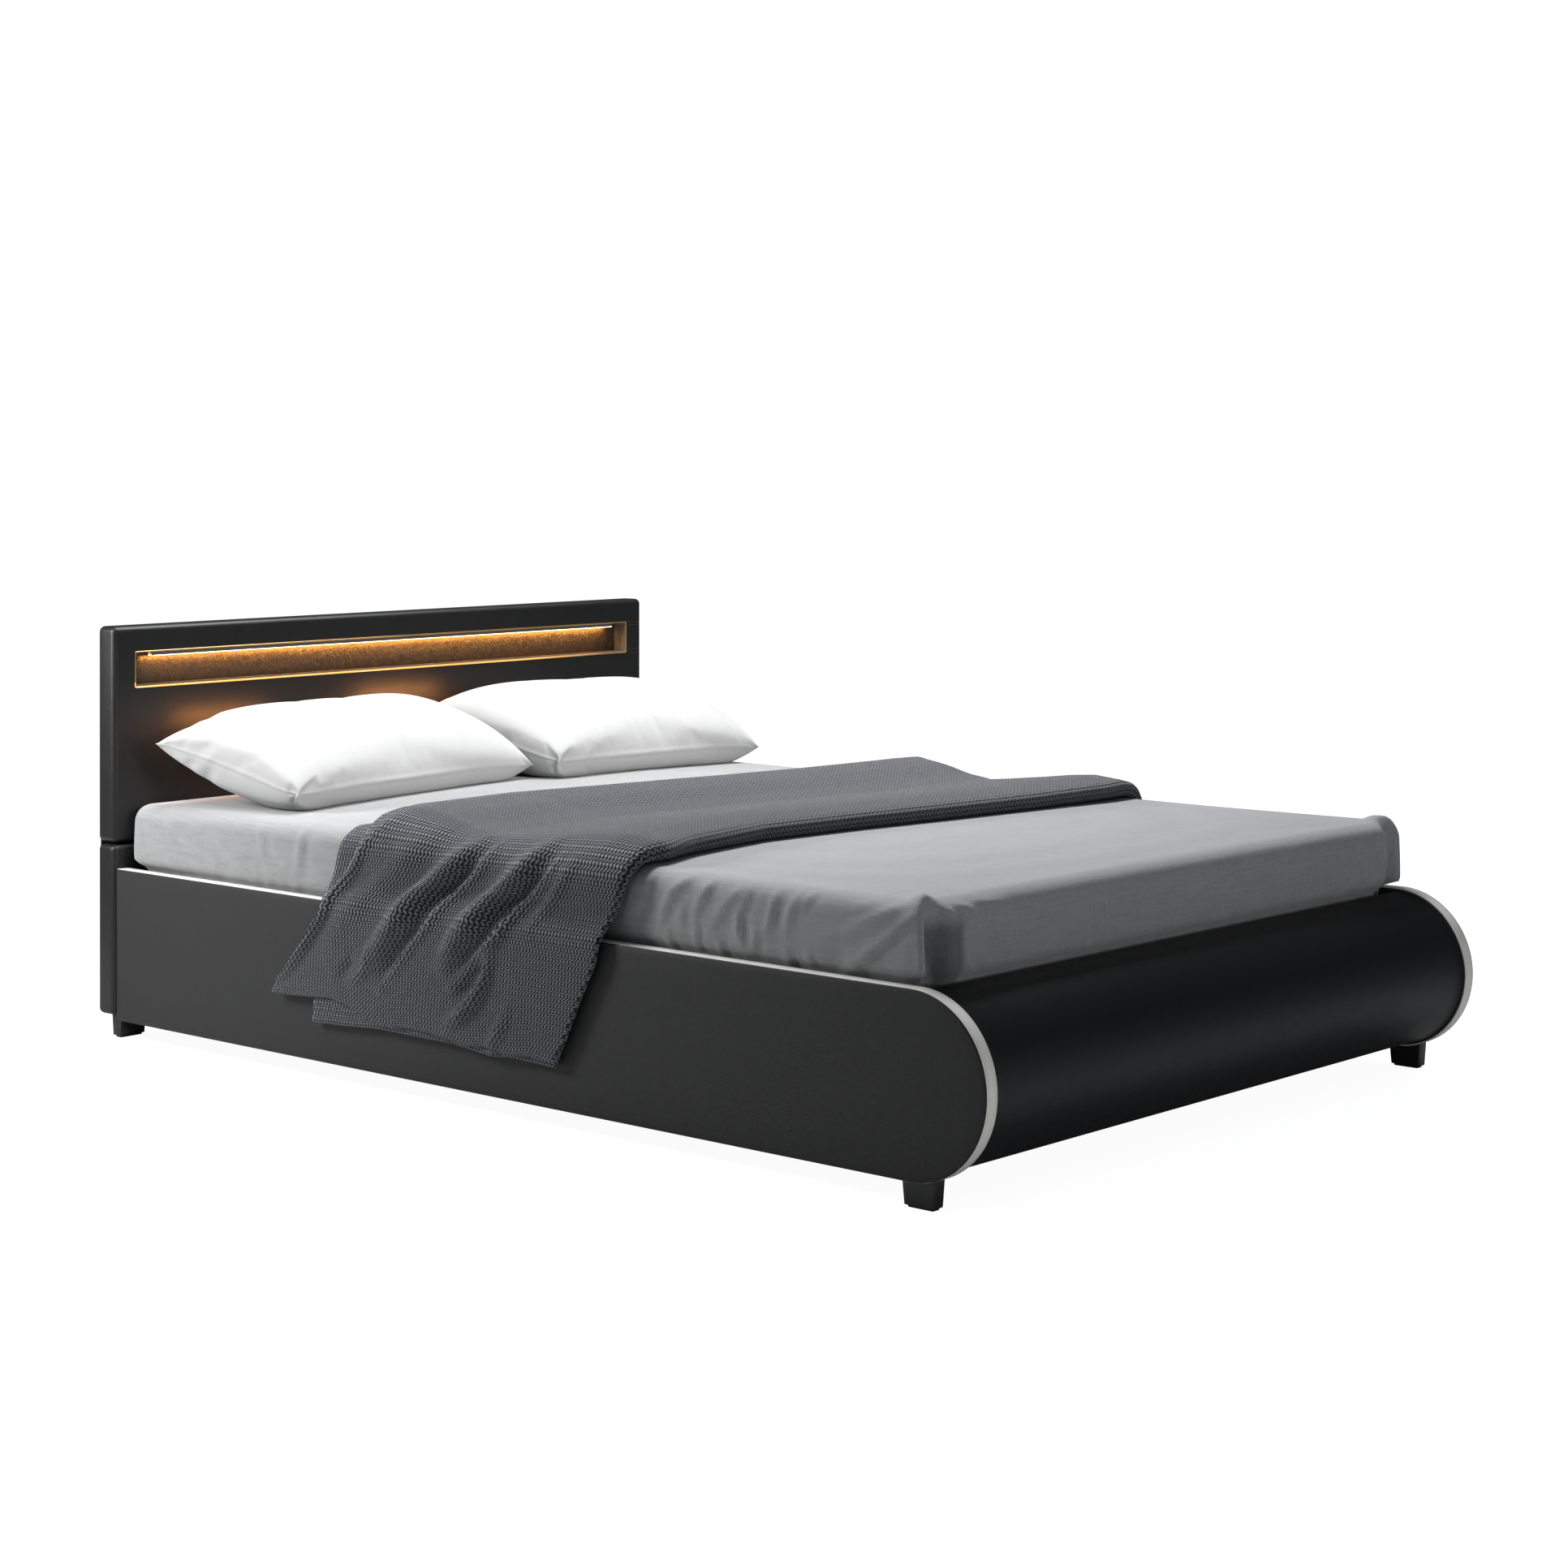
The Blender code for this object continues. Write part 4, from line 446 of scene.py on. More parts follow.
def timber(name, dark, light, along):
    """Straight-grained wood: long rings, short pores, and a dull lacquer."""
    wood = Finish(name, Specular_IOR_Level=0.4)
    place = wood.place()
    drawn, fine = (wood.turned(place, [share if axis == along else 1.0 for axis in range(3)])
                   for share in (0.05, 0.02))
    rings, pores = wood.noise(drawn, 34.0, 4.0, 0.6), wood.noise(fine, 900.0)
    wood.surface((rings * 1.5 - 0.25).clipped() * 0.75 + pores * 0.25, dark, light,
                 0.42 + rings * 0.14, rings * 0.4 + pores * 0.6, 0.00012)
    return wood


beech_across = timber("beech_slat", (0.40, 0.245, 0.125), (0.62, 0.43, 0.255), 0)
beech_along = timber("beech_beam", (0.38, 0.235, 0.12), (0.58, 0.40, 0.24), 1)

chips = Finish("chipboard", Specular_IOR_Level=0.3)
place = chips.place()
flake, dust = chips.cells(place, 320.0), chips.noise(place, 60.0, 5.0)
chips.surface(flake * 0.8 + dust * 0.4, (0.20, 0.125, 0.065), (0.50, 0.37, 0.22),
              0.78 + (dust - 0.5) * 0.12, flake, 0.0002)


def metal(name, dark, light, roughness, metallic, speckle=700.0, **fixed):
    steel = Finish(name, Metallic=metallic, **fixed)
    place = steel.place()
    peel, cloudy = steel.noise(place, speckle), steel.noise(place, 9.0, 4.0)
    steel.surface(cloudy * 0.7 + peel * 0.3, dark, light, roughness + (cloudy - 0.5) * 0.16, peel, 0.00006)
    return steel


def dress(finish, *starts):
    """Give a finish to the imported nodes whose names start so."""
    for name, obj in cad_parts.items():
        if name.startswith(starts):
            finish.on(obj)


dress(foil, "side_board", "foot_frame", "head_cross_board", "floor_panel", "headboard_back")
dress(chips, "headboard_upper_core", "headboard_lower_core")
dress(beech_across, "slat_", "headboard_frame")
dress(beech_along, "floor_centre_beam")
dress(metal("black_steel", (0.018, 0.018, 0.019), (0.030, 0.030, 0.032), 0.38, 0.35), "lift_", "gas_cylinder")
dress(metal("bright_rod", (0.74, 0.75, 0.77), (0.84, 0.85, 0.87), 0.12, 1.0, 1200.0), "gas_rod")
dress(metal("zinc_steel", (0.48, 0.49, 0.51), (0.70, 0.71, 0.73), 0.34, 1.0, 260.0),
      "corner_bracket", "mattress_hoop")

# Feet
# Four black moulded blocks taper to the floor and stand on thin glides, so a shadow line shows under each.
# They are screwed up into the side panels at the roll and under the headboard.
moulded = Finish("black_plastic", Specular_IOR_Level=0.45)
place = moulded.place()
spark, scuff = moulded.noise(place, 900.0), moulded.noise(place, 24.0, 5.0)
moulded.surface(scuff, (0.010, 0.010, 0.0105), (0.017, 0.017, 0.018),
                0.40 + (scuff - 0.5) * 0.16, spark * 0.7 + scuff * 0.6, 0.00008)

glide_height, glide_inset, taper, into_roll = 0.004, 0.004, 0.004, 0.0012
for end in ("front", "head"):
    for word, _ in SIDES:
        low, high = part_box("foot_" + end + "_" + word)
        foot = cube("block_" + end + "_" + word, low + Vector((0, 0, glide_height)), high)
        pick(foot, "faces", lambda middle, normal: normal.z < -0.5)
        narrow = 1 - 2 * taper / (high.y - low.y)
        bpy.ops.transform.resize(value=(1, narrow, 1), center_override=(low + high) / 2)
        bpy.ops.mesh.inset(thickness=glide_inset)
        extrude(0, 0, -glide_height)
        if end == "front":
            for from_foot in (0.012, 0.024, 0.036, 0.048):
                pick_all()
                bpy.ops.mesh.bisect(plane_co=(0, low.y + from_foot, 0), plane_no=(0, 1, 0))
            deselect()
            for spot in foot.data.vertices:
                if spot.co.z > high.z - 0.002:
                    past = max(roll_y - spot.co.y, 0.0)
                    spot.co.z = roll_z - math.sqrt(roll_radius ** 2 - past ** 2) + into_roll
        soften(foot, 0.0016, 3, 40)
        smooth(foot, 35)
        moulded.on(foot)
        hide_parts("foot_" + end + "_" + word)
        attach(foot, "base")

# Headboard blocks
# Two boards wrapped in foam and black leatherette stand one over the other, with a narrow joint between them.
# The wrap is drawn round all four edges and stapled behind, and two fine seams run from the slot's corners.
slot_low, slot_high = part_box("slot_frame")


def slot_seams(place):
    """Two pairs of fine seams, level with the slot's upper and lower corners, on both sides of it."""
    total = 0.0
    for seam_z in (slot_high.z - 0.001, slot_high.z - 0.008, slot_low.z + 0.001, slot_low.z + 0.009):
        total = (abs(place.part("Z") - seam_z) < 0.0007) + total
    return total * (abs(place.part("X")) > slot_high.x)


board_black = leatherette("headboard_leatherette", (0.0060, 0.0060, 0.0064), (0.0090, 0.0090, 0.0096), 0.38,
                          slot_seams)
wrap_round, wrap_wall, front_thick, cut_slack = 0.012, 0.0045, 0.010, 0.0005
for label in ("upper", "lower"):
    low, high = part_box("headboard_" + label + "_cover")
    block = cube("block_headboard_" + label, low, high)
    soften(block, wrap_round, 8, 40)
    pick(block, "faces", lambda middle, normal: normal.y > 0.99)
    bpy.ops.mesh.inset(thickness=wrap_wall)
    extrude(0, -(high.y - low.y - front_thick), 0)
    if label == "upper":
        cutter = cube("slot_cutter", (slot_low.x + cut_slack, low.y - 0.1, slot_low.z + cut_slack),
                      (slot_high.x - cut_slack, low.y + 0.1, slot_high.z - cut_slack))
        modify(block, "BOOLEAN", operation="DIFFERENCE", solver="EXACT", object=cutter)
        bpy.data.objects.remove(cutter, do_unlink=True)
    smooth(block, 40)
    board_black.on(block)
    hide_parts("headboard_" + label + "_cover")
    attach(block, "base")

# Lit slot
# A dark lining with a thin gold bead frames the slot, and a crinkled leatherette panel closes its back. A
# channel under the top edge holds the light strip and its amber diffuser. Three weak lamps stand for the
# strip's glow on the panel, and on the headboard behind the pillows. The bead's lower edge has a painted
# amber glow in its own emission, for the strip's reflection in it.
lining = Finish("slot_lining", Specular_IOR_Level=0.6)
brushed = lining.noise(lining.turned(lining.place(), (0.05, 1, 1)), 300.0, 3.0)
lining.surface(brushed, (0.12, 0.105, 0.09), (0.18, 0.16, 0.135),
               0.30 + (brushed - 0.5) * 0.14, brushed, 0.00005)
dress(lining, "slot_frame")
dress(metal("aluminium", (0.16, 0.155, 0.15), (0.22, 0.215, 0.21), 0.55, 1.0, 500.0), "led_profile")


def lit_strip(name, emission, base_colours, light_colours, **fixed):
    """A diffuser over a row of small lamps: a little brighter over each."""
    finish = Finish(name, Emission_Strength=emission, **fixed)
    lamp_pitch = 0.0167
    dots = abs((finish.place().part("X") % lamp_pitch) - lamp_pitch / 2).rise(0.0, 0.008)
    finish.feed("Base Color", finish.shade(dots, *base_colours))
    finish.feed("Emission Color", finish.shade(dots, *light_colours))
    return finish


glow = lit_strip("diffuser", 11.0, ((1.0, 0.80, 0.46), (0.98, 0.72, 0.36)),
                 ((1.0, 0.52, 0.15), (1.0, 0.47, 0.12)), Roughness=0.35)
dress(glow, "led_diffuser")

bead_inset, bead_corner, bead_radius = 0.003, 0.004, 0.0016
deselect()
bpy.ops.mesh.primitive_plane_add(size=1, location=(0, slot_low.y + 0.0004, (slot_low.z + slot_high.z) / 2),
                                 rotation=(math.pi / 2, 0, 0))
slot_size = slot_high - slot_low
bpy.ops.transform.resize(value=(slot_size.x - bead_inset, 1, slot_size.z - bead_inset))
bead = named("trim_slot")
pick_all()
bpy.ops.mesh.bevel(offset=bead_corner, segments=4, affect="VERTICES")
pick_all()
bpy.ops.mesh.delete(type="ONLY_FACE")
only(bead)
bpy.ops.object.convert(target="CURVE")
bead_curve = bpy.context.object.data
bead_curve.bevel_depth, bead_curve.bevel_resolution = bead_radius, 3
bpy.ops.object.convert(target="MESH")
bead = named("trim_slot")
smooth(bead, 60)
polished = metal("polished_trim_painted_glow", (0.42, 0.27, 0.10), (0.55, 0.36, 0.14), 0.34, 1.0, 300.0,
                 Emission_Strength=1.0)
place = polished.place()
# Painted glow: the bead's lower edge emits amber, fading out towards the right end, as a painted reflection of
# the strip
painted_glow_share = (place.part("Z") < slot_low.z + 0.012) * (0.62 - place.part("X")).rise(0.0, 0.30)
polished.feed("Emission Color", polished.shade(painted_glow_share, (0.03, 0.014, 0.003), (1.0, 0.50, 0.12)))
polished.on(bead)
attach(bead, "base")

# The diffuser's front lip, which shows as a fine bright line
profile_low, profile_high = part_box("led_profile")
lip_end, lip_out, lip_drop, lip_size = 0.003, 0.0011, 0.0003, 0.0014
lip_y, lip_z = profile_low.y - lip_out, profile_low.z - lip_drop
lip = cube("lip_diffuser", (profile_low.x + lip_end, lip_y, lip_z),
           (profile_high.x - lip_end, lip_y + lip_size, lip_z + lip_size))
modify(lip, "BEVEL", width=0.0004, segments=2)
lit_strip("diffuser_lip", 3.6, ((0.98, 0.90, 0.72), (0.96, 0.86, 0.66)),
          ((1.0, 0.80, 0.44), (1.0, 0.72, 0.34))).on(lip)
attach(lip, "base")

panel_low, panel_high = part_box("slot_back_panel")
soft_box("strip_glow", (0, panel_low.y - 0.007, profile_low.z - 0.004), (0, panel_low.y, profile_low.z - 0.016),
         (slot_size.x - 0.08, 0.004), 0.95, (1.0, 0.46, 0.09))
for name, x, z, watts in (("spill_left", -0.44, 0.628, 0.55), ("spill_middle", 0.05, 0.645, 0.75)):
    soft_box(name, (x, 0.995, z), (x, 1.07, 0.570), (0.22, 0.03), watts, (1.0, 0.38, 0.10))

crinkle = Finish("crinkled_leatherette", Specular_IOR_Level=0.5)
place = crinkle.place()
squeezed = crinkle.turned(place, (1.0, 1.0, 0.8))
bent, fold = crinkle.noise(squeezed, 30.0, 3.0), crinkle.noise(squeezed, 75.0, 5.0, 0.65)
fibres = 0.5
for turn_by, pitch in ((0.6, 38.0), (-0.7, 46.0), (0.1, 60.0)):
    drift = crinkle.noise(crinkle.turned(place, (1.0, 1.0, 1.0), (0.0, turn_by, 0.0)), pitch, 3.0, 0.6)
    fibres = (1.0 - abs(drift - 0.5) * 30.0).clipped() * 0.5 + fibres
# Painted highlight: the raised folds and the fibre ridges are painted lighter, for the strip's grazing light on
# them
crinkle.surface((fold * 0.6 + fibres * 0.5 - 0.25).clipped(), (0.024, 0.017, 0.012), (0.095, 0.066, 0.042),
                0.42 + (bent - 0.5) * 0.2, fold * 0.6 + fibres * 0.6, 0.0012)
panel = cube("panel_slot", panel_low, panel_high)
soften(panel, 0.0008, 2, 40)
smooth(panel, 35)
crinkle.on(panel)
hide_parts("slot_back_panel")
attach(panel, "base")

# Mattress
# A sprung mattress lies on the slats in a fitted sheet of grey linen weave. The sheet is pulled over the edges,
# so the top is smooth, the long sides are gathered, and the foot corners are folded over like an envelope.
mat_low, mat_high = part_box("mattress")
crown, swell = 0.006, 0.003
corner_round, shoulder_round, heel_round = 0.040, 0.032, 0.020
spread_side, spread_foot, spread_head = 0.011, 0.011, 0.005
tuck_z, tuck_height = 0.337, 0.022
weave_pitch = 0.0075


def grid_lines(half, round_in, steps=5):
    """Evenly spaced lines, and closer ones where the corner turns."""
    middle = half - round_in
    count = int(2 * middle / weave_pitch)
    zone = round_in * np.arange(1, steps + 1) / steps
    return np.concatenate([-middle - zone[::-1], np.linspace(-middle, middle, count + 1), middle + zone])


def quads(index):
    """The faces of a grid of point numbers."""
    corners = index[:-1, :-1], index[1:, :-1], index[1:, 1:], index[:-1, 1:]
    return np.stack(corners, -1).reshape(-1, 4).tolist()


def block_surface(low, high, corner, shoulder, heel, rise):
    """A closed, crowned block: a top grid, then rings over the shoulder, down the sides and under the heel."""
    half_x = (high.x - low.x) / 2 + spread_side - swell
    half_y = (high.y - low.y + spread_foot + spread_head) / 2 - swell
    centre = np.array([(low.x + high.x) / 2, (low.y + high.y + spread_head - spread_foot) / 2])
    top_z = high.z - rise
    in_x, in_y, round_in = half_x - shoulder, half_y - shoulder, corner - shoulder
    xs, ys = grid_lines(in_x, round_in), grid_lines(in_y, round_in)
    flat_x, flat_y = np.meshgrid(xs, ys, indexing="ij")
    over_x, over_y = (np.clip(np.abs(flat) - (inner - round_in), 0, None) / round_in
                      for flat, inner in ((flat_x, in_x), (flat_y, in_y)))
    turned_x, turned_y = over_x * np.sqrt(1 - over_y ** 2 / 2), over_y * np.sqrt(1 - over_x ** 2 / 2)
    flat_x = np.sign(flat_x) * (np.minimum(np.abs(flat_x), in_x - round_in) + round_in * turned_x)
    flat_y = np.sign(flat_y) * (np.minimum(np.abs(flat_y), in_y - round_in) + round_in * turned_y)
    dome = rise * (1 - (np.abs(flat_x) / in_x) ** 3) * (1 - (np.abs(flat_y) / in_y) ** 3)
    points = [np.stack([flat_x + centre[0], flat_y + centre[1], top_z + dome], -1).reshape(-1, 3)]
    index = np.arange(flat_x.size).reshape(flat_x.shape)
    faces = quads(index)
    rim = np.concatenate([index[:, 0], index[-1, 1:], index[-2::-1, -1], index[0, -2:0:-1]])
    rim_xy = points[0][rim, :2]
    out = np.stack([np.sign(flat_x) * turned_x, np.sign(flat_y) * turned_y], -1).reshape(-1, 2)[rim]
    out /= np.linalg.norm(out, axis=1)[:, None]
    bends = np.linspace(0, math.pi / 2, 8)[1:]
    rings = [(shoulder * math.sin(a), top_z - shoulder * (1 - math.cos(a))) for a in bends]
    wall = np.linspace(top_z - shoulder, low.z + heel, int((top_z - shoulder - low.z - heel) / weave_pitch) + 1)
    rings += [(shoulder, z) for z in wall[1:]]
    rings += [(shoulder - heel * (1 - math.cos(a)), low.z + heel * (1 - math.sin(a))) for a in bends]
    total, previous = flat_x.size, rim
    for outset, z in rings:
        puff = swell * math.sin(math.pi * min(max((z - low.z) / (top_z - low.z), 0), 1))
        tucked = 0.5 + 0.5 * math.cos(math.pi * min(max((z - tuck_z) / tuck_height, 0), 1))
        ring = rim_xy + out * (outset + puff - tucked * np.array([spread_side, spread_foot]))
        points.append(np.column_stack([ring, np.full(len(rim), z)]))
        here = np.arange(total, total + len(rim))
        total += len(rim)
        faces += np.stack([previous, here, np.roll(here, -1), np.roll(previous, -1)], -1).tolist()
        previous = here
    faces.append(previous[::-1].tolist())
    return np.concatenate(points), faces


def mesh_piece(name, points, faces, material=None):
    """A new closed piece from points and faces, facing outwards and smooth."""
    obj = from_points(name, points, faces)
    check = bmesh.new()
    check.from_mesh(obj.data)
    bmesh.ops.recalc_face_normals(check, faces=check.faces)
    if check.calc_volume(signed=True) < 0:
        bmesh.ops.reverse_faces(check, faces=check.faces)
    check.to_mesh(obj.data)
    check.free()
    obj.data.shade_smooth()
    if material:
        material.on(obj)
    return obj


def vertex_arrays(obj):
    count = len(obj.data.vertices)
    points, normals = np.empty(count * 3), np.empty(count * 3)
    obj.data.vertices.foreach_get("co", points)
    obj.data.vertex_normals.foreach_get("vector", normals)
    return points.reshape(-1, 3), normals.reshape(-1, 3)


def put_points(obj, points):
    obj.data.vertices.foreach_set("co", points.ravel())
    obj.data.update()


def from_line(points, line):
    """Distance of every point from a polyline, and how far along it the nearest place is, from 0 to 1."""
    line = np.array(line, float)
    best, place = np.full(len(points), 1e9), np.zeros(len(points))
    lengths = np.linalg.norm(np.diff(line, axis=0), axis=1)
    run, total = 0.0, lengths.sum()
    for start, end, length in zip(line, line[1:], lengths):
        along = (end - start) / length
        t = np.clip((points - start) @ along, 0, length)
        away = np.linalg.norm(points - start - t[:, None] * along, axis=1)
        closer = away < best
        best = np.where(closer, away, best)
        place = np.where(closer, (run + t) / total, place)
        run += length
    return best, place


def crease(points, line, width, height):
    """A soft ridge, or with a negative height a groove, that fades out at both ends of its line."""
    away, along = from_line(points, line)
    return height * np.exp(-(away / width) ** 2) * np.sin(np.pi * np.clip(along * 0.84 + 0.08, 0, 1)) ** 0.7


def fold_lines(table):
    """Each row is a fold in millimetres: its width and height, then the places along it, two numbers each."""
    for row in table:
        width, height, *line = np.array(row) / 1000
        yield width, height, np.reshape(line, (-1, 2))


def wander(values, seed, shortest, longest, count=9):
    """A smooth wandering line made of a few waves, from -1 to 1."""
    chance = np.random.default_rng(seed)
    total = np.zeros_like(values)
    for _ in range(count):
        total += np.sin(2 * np.pi * values / chance.uniform(shortest, longest) + chance.uniform(0, 6.28))
    return total / math.sqrt(count * 2)


# Places along the bed and up on the near side, and across the bed and up on the foot face
near_side_creases = (
    (9, 4.8, -383, 460, -365, 440), (9, 5.2, -361, 424, -343, 391),
    (10, 7.2, -470, 468, -430, 434, -413, 407, -407, 388), (9, 6.8, -520, 462, -499, 431, -482, 402),
    (8, 4.8, -456, 412, -450, 386), (11, 6.4, -590, 458, -545, 414, -520, 387), (7, 6, -486, 390, -488, 347),
    (9, 6.8, -605, 455, -582, 412, -586, 376, -599, 353), (9, 6.4, -665, 452, -652, 407, -640, 390),
    (8, 5.2, -715, 462, -696, 424, -688, 399), (8, 4.8, -745, 466, -716, 438), (8, 5.2, -623, 392, -615, 354),
    (8, 6, -736, 368, -740, 350), (8, 6, -835, 352, -846, 338),
    (9, 8.4, -966, 474, -911, 454, -858, 431, -819, 412), (8, 6, -960, 474, -888, 466, -835, 454),
    (10, 11.2, -950, 446, -896, 403, -850, 371, -811, 346), (8, 6.8, 814, 420, 767, 396, 711, 364, 675, 340),
    (11, 6, 897, 413, 852, 389, 799, 365), (10, 4.8, 935, 438, 912, 412), (11, 4.8, 667, 460, 646, 398),
    (12, 4.8, 539, 462, 546, 388), (9, 4.8, -340, 440, -325, 380), (8, 4.8, -420, 372, -428, 338),
    (8, 4.4, -540, 372, -545, 335), (8, 4.4, -690, 360, -694, 335),
)
foot_creases = (
    (9, 8.8, -690, 470, -632, 440, -574, 413), (9, 8, -680, 476, -603, 452, -555, 432),
    (8, 6.8, -262, 426, -236, 378), (7, 6, -283, 385, -278, 347), (7, 5.6, -188, 380, -193, 349),
    (10, 5.2, -617, 383, -594, 350), (9, 5.2, -650, 472, -497, 452), (14, 6, 560, 380, 470, 330),
    (12, 6, 640, 400, 560, 325), (10, 4.4, 400, 352, 360, 322), (10, 4, 100, 350, 60, 322),
)
points, faces = block_surface(mat_low, mat_high, corner_round, shoulder_round, heel_round, crown)
sheet_obj = mesh_piece("sheet_fitted", points, faces)
points, normals = vertex_arrays(sheet_obj)
side_x, foot_y = mat_low.x - spread_side, mat_low.y - spread_foot
near, at_foot = points[:, 0] < side_x + 0.14, points[:, 1] < foot_y + 0.14
push = np.zeros(len(points))
for face, creases, axis, level, beside in ((near, near_side_creases, 0, side_x, (0, -1.3, 0)),
                                           (at_foot, foot_creases, 1, foot_y, (1.3, 0, 0))):
    for width, height, line in fold_lines(creases):
        spine = np.insert(line, axis, level + 0.004, axis=1)
        groove = crease(points[face], spine + width * np.array(beside), width * 1.2, height)
        push[face] += crease(points[face], spine, width, height) - 0.5 * groove

# The other faces are gathered in the same way, out of the camera's view, and the near ones have fine ripples
hang = np.clip((mat_high.z - 0.030 - points[:, 2]) / 0.09, 0, 1) ** 0.8
far_side, near_side = (np.clip((sign * points[:, 0] - 0.62) / 0.05, 0, 1) for sign in (1, -1))
head_face = np.clip((points[:, 1] - (mat_high.y - 0.05)) / 0.04, 0, 1)
gather = wander(points[:, 1] + 0.25 * points[:, 2], 5, 0.035, 0.16)
push += far_side * hang * np.clip(gather, -0.8, 1.2) * 0.0022
for share, axis, lean, seed, shortest, longest, height in (
        (head_face, 0, -0.2, 8, 0.04, 0.15, 0.0018), (near_side, 1, 0.22, 11, 0.030, 0.11, 0.0007),
        (at_foot, 0, 0.2, 14, 0.05, 0.17, 0.0008)):
    push += share * hang * wander(points[:, axis] + lean * points[:, 2], seed, shortest, longest) * height
soft = wander(points[:, 0], 2, 0.25, 0.8, 5) * wander(points[:, 1], 3, 0.3, 0.9, 5)
push += (points[:, 2] > mat_high.z - 0.02) * soft * 0.0010
points += normals * push[:, None]

# Above the rails the cloth stands out a little at the head corners and at the far foot corner
over_rail = np.clip((points[:, 2] - 0.346) / 0.018, 0, 1)
for corner_x, corner_y, reach, out_x, out_y in ((mat_low.x, mat_high.y, 0.22, -0.016, 0.003),
                                                (mat_high.x, mat_high.y, 0.22, 0.016, 0.003),
                                                (mat_high.x, mat_low.y, 0.22, 0.024, -0.015),
                                                (mat_low.x, mat_low.y, 0.16, -0.004, -0.005)):
    share = np.exp(-(np.hypot(points[:, 0] - corner_x, points[:, 1] - corner_y) / reach) ** 2) * over_rail
    points[:, :2] += share[:, None] * (out_x, out_y)

# Envelope folds: at each foot corner the long side's cloth laps the corner and stands off the foot face,
# beside a hollow, with a small ear at the top
lap_width, lap_out, lap_forward = 0.011, 0.0085, 0.0105
hollow_width, hollow_depth = 0.021, 0.030
ear_width, ear_height = 0.019, 0.0110
for _, side in SIDES:
    def away_from(*spots):
        """Distance from a line of places, given by how far they are in from both faces, and their height."""
        line = [(side * (mat_high.x + spread_side - x), foot_y + y, z) for x, y, z in spots]
        return from_line(points, line)[0]

    down = 0.35 + 0.65 * np.clip((mat_high.z - 0.012 - points[:, 2]) / 0.10, 0, 1)
    away = away_from((0.004, 0.016, mat_high.z - 0.014), (0.0015, 0.010, 0.41),
                     (0.0015, 0.008, mat_low.z + 0.02))
    lap = np.exp(-(away / lap_width) ** 2) * down
    points[:, 0] += side * lap_out * lap
    points[:, 1] -= lap_forward * lap
    away = away_from((0.030, 0, mat_high.z - 0.022), (0.030, 0, 0.40), (0.034, 0, mat_low.z + 0.015))
    points[:, 1] += hollow_depth * np.exp(-(away / hollow_width) ** 4) * (points[:, 1] < foot_y + 0.05) * down
    away = away_from((0.030, 0.030, mat_high.z - 0.006), (0.016, 0.014, mat_high.z - 0.012))
    points[:, 2] += ear_height * np.exp(-(away / ear_width) ** 2)
put_points(sheet_obj, points)

linen = Finish("fitted_sheet", Specular_IOR_Level=0.2, Sheen_Weight=0.25, Sheen_Roughness=0.5)
place = linen.place()
x, y, z = (place.part(axis) for axis in "XYZ")
thread_pitch = 0.0034
slub_x, slub_y = (linen.noise(linen.turned(place, stretch), 420.0, 3.0, 0.6)
                  for stretch in ((0.030, 1.0, 1.0), (1.0, 0.035, 0.25)))
thread = (slub_x + slub_y) * 0.5
weave = x.wave(thread_pitch) * y.wave(thread_pitch) + z.wave(thread_pitch) * (x + y).wave(thread_pitch)
worn = linen.noise(place, 3.0, 3.0)
mix_mask = (thread * 2.4 - 0.70 + weave * 0.26 + (worn - 0.5) * 0.15).clipped()
# Painted shade: the folded-in panel beside the near foot corner lies in shadow, so its colour is darkened there
painted_corner_shade = (x.rise(mat_low.x - 0.006, mat_low.x + 0.002)
                * (1.0 - x.rise(mat_low.x + 0.070, mat_low.x + 0.092))
                * (1.0 - y.rise(foot_y + 0.020, foot_y + 0.032))
                * (1.0 - z.rise(mat_high.z - 0.060, mat_high.z - 0.025)))
linen.surface((mix_mask * 0.4 + 0.6) * (1.0 - painted_corner_shade * 0.66),
              (0.035, 0.036, 0.037), (0.285, 0.287, 0.290),
              0.86 + (thread - 0.5) * 0.08, thread * 0.8 + weave * 0.18, 0.0007)
linen.on(sheet_obj)
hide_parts("mattress")
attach(sheet_obj, "platform")

# Pillows
# Two plump pillows in white cotton slips lie side by side, tipped up against the headboard.
# Each slip is two panels sewn round the rim, so the corners are pointed and the sides between them drawn in.
pillow_pitch = 0.0085
pillow_top, pillow_under = 0.100, 0.080
seam_out, clearance, sink, most_moved = 0.0028, 0.0012, 0.006, 0.007
slip_length, slip_width = 0.78, 0.46
end_square, side_square = 4.5, 2.6
end_drawn, side_drawn, blunt_end, blunt_side = 0.030, 0.055, 0.020, 0.045
# Dents in a row near the front edge, and a puff beside each
dent_row, dent_slant, dent_width, dent_reach, dent_depth = -0.80, 0.16, 0.022, 0.10, 0.036
puff_beside, puff_reach, puff_height = 2.2, 0.12, 0.025
headboard_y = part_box("headboard_upper_cover")[0].y
# Near outer, near inner, far inner and far outer corner, each with its height over the sheet
pillow_corners = {
    "left": ((-0.632, 0.6465, 0.038), (0.106, 0.7725, 0.034), (-0.005, 1.0205, 0.120), (-0.712, 0.9845, 0.122)),
    "right": ((0.712, 0.6675, 0.036), (0.122, 0.6975, 0.040), (0.012, 1.0205, 0.128), (0.690, 1.0025, 0.112)),
}


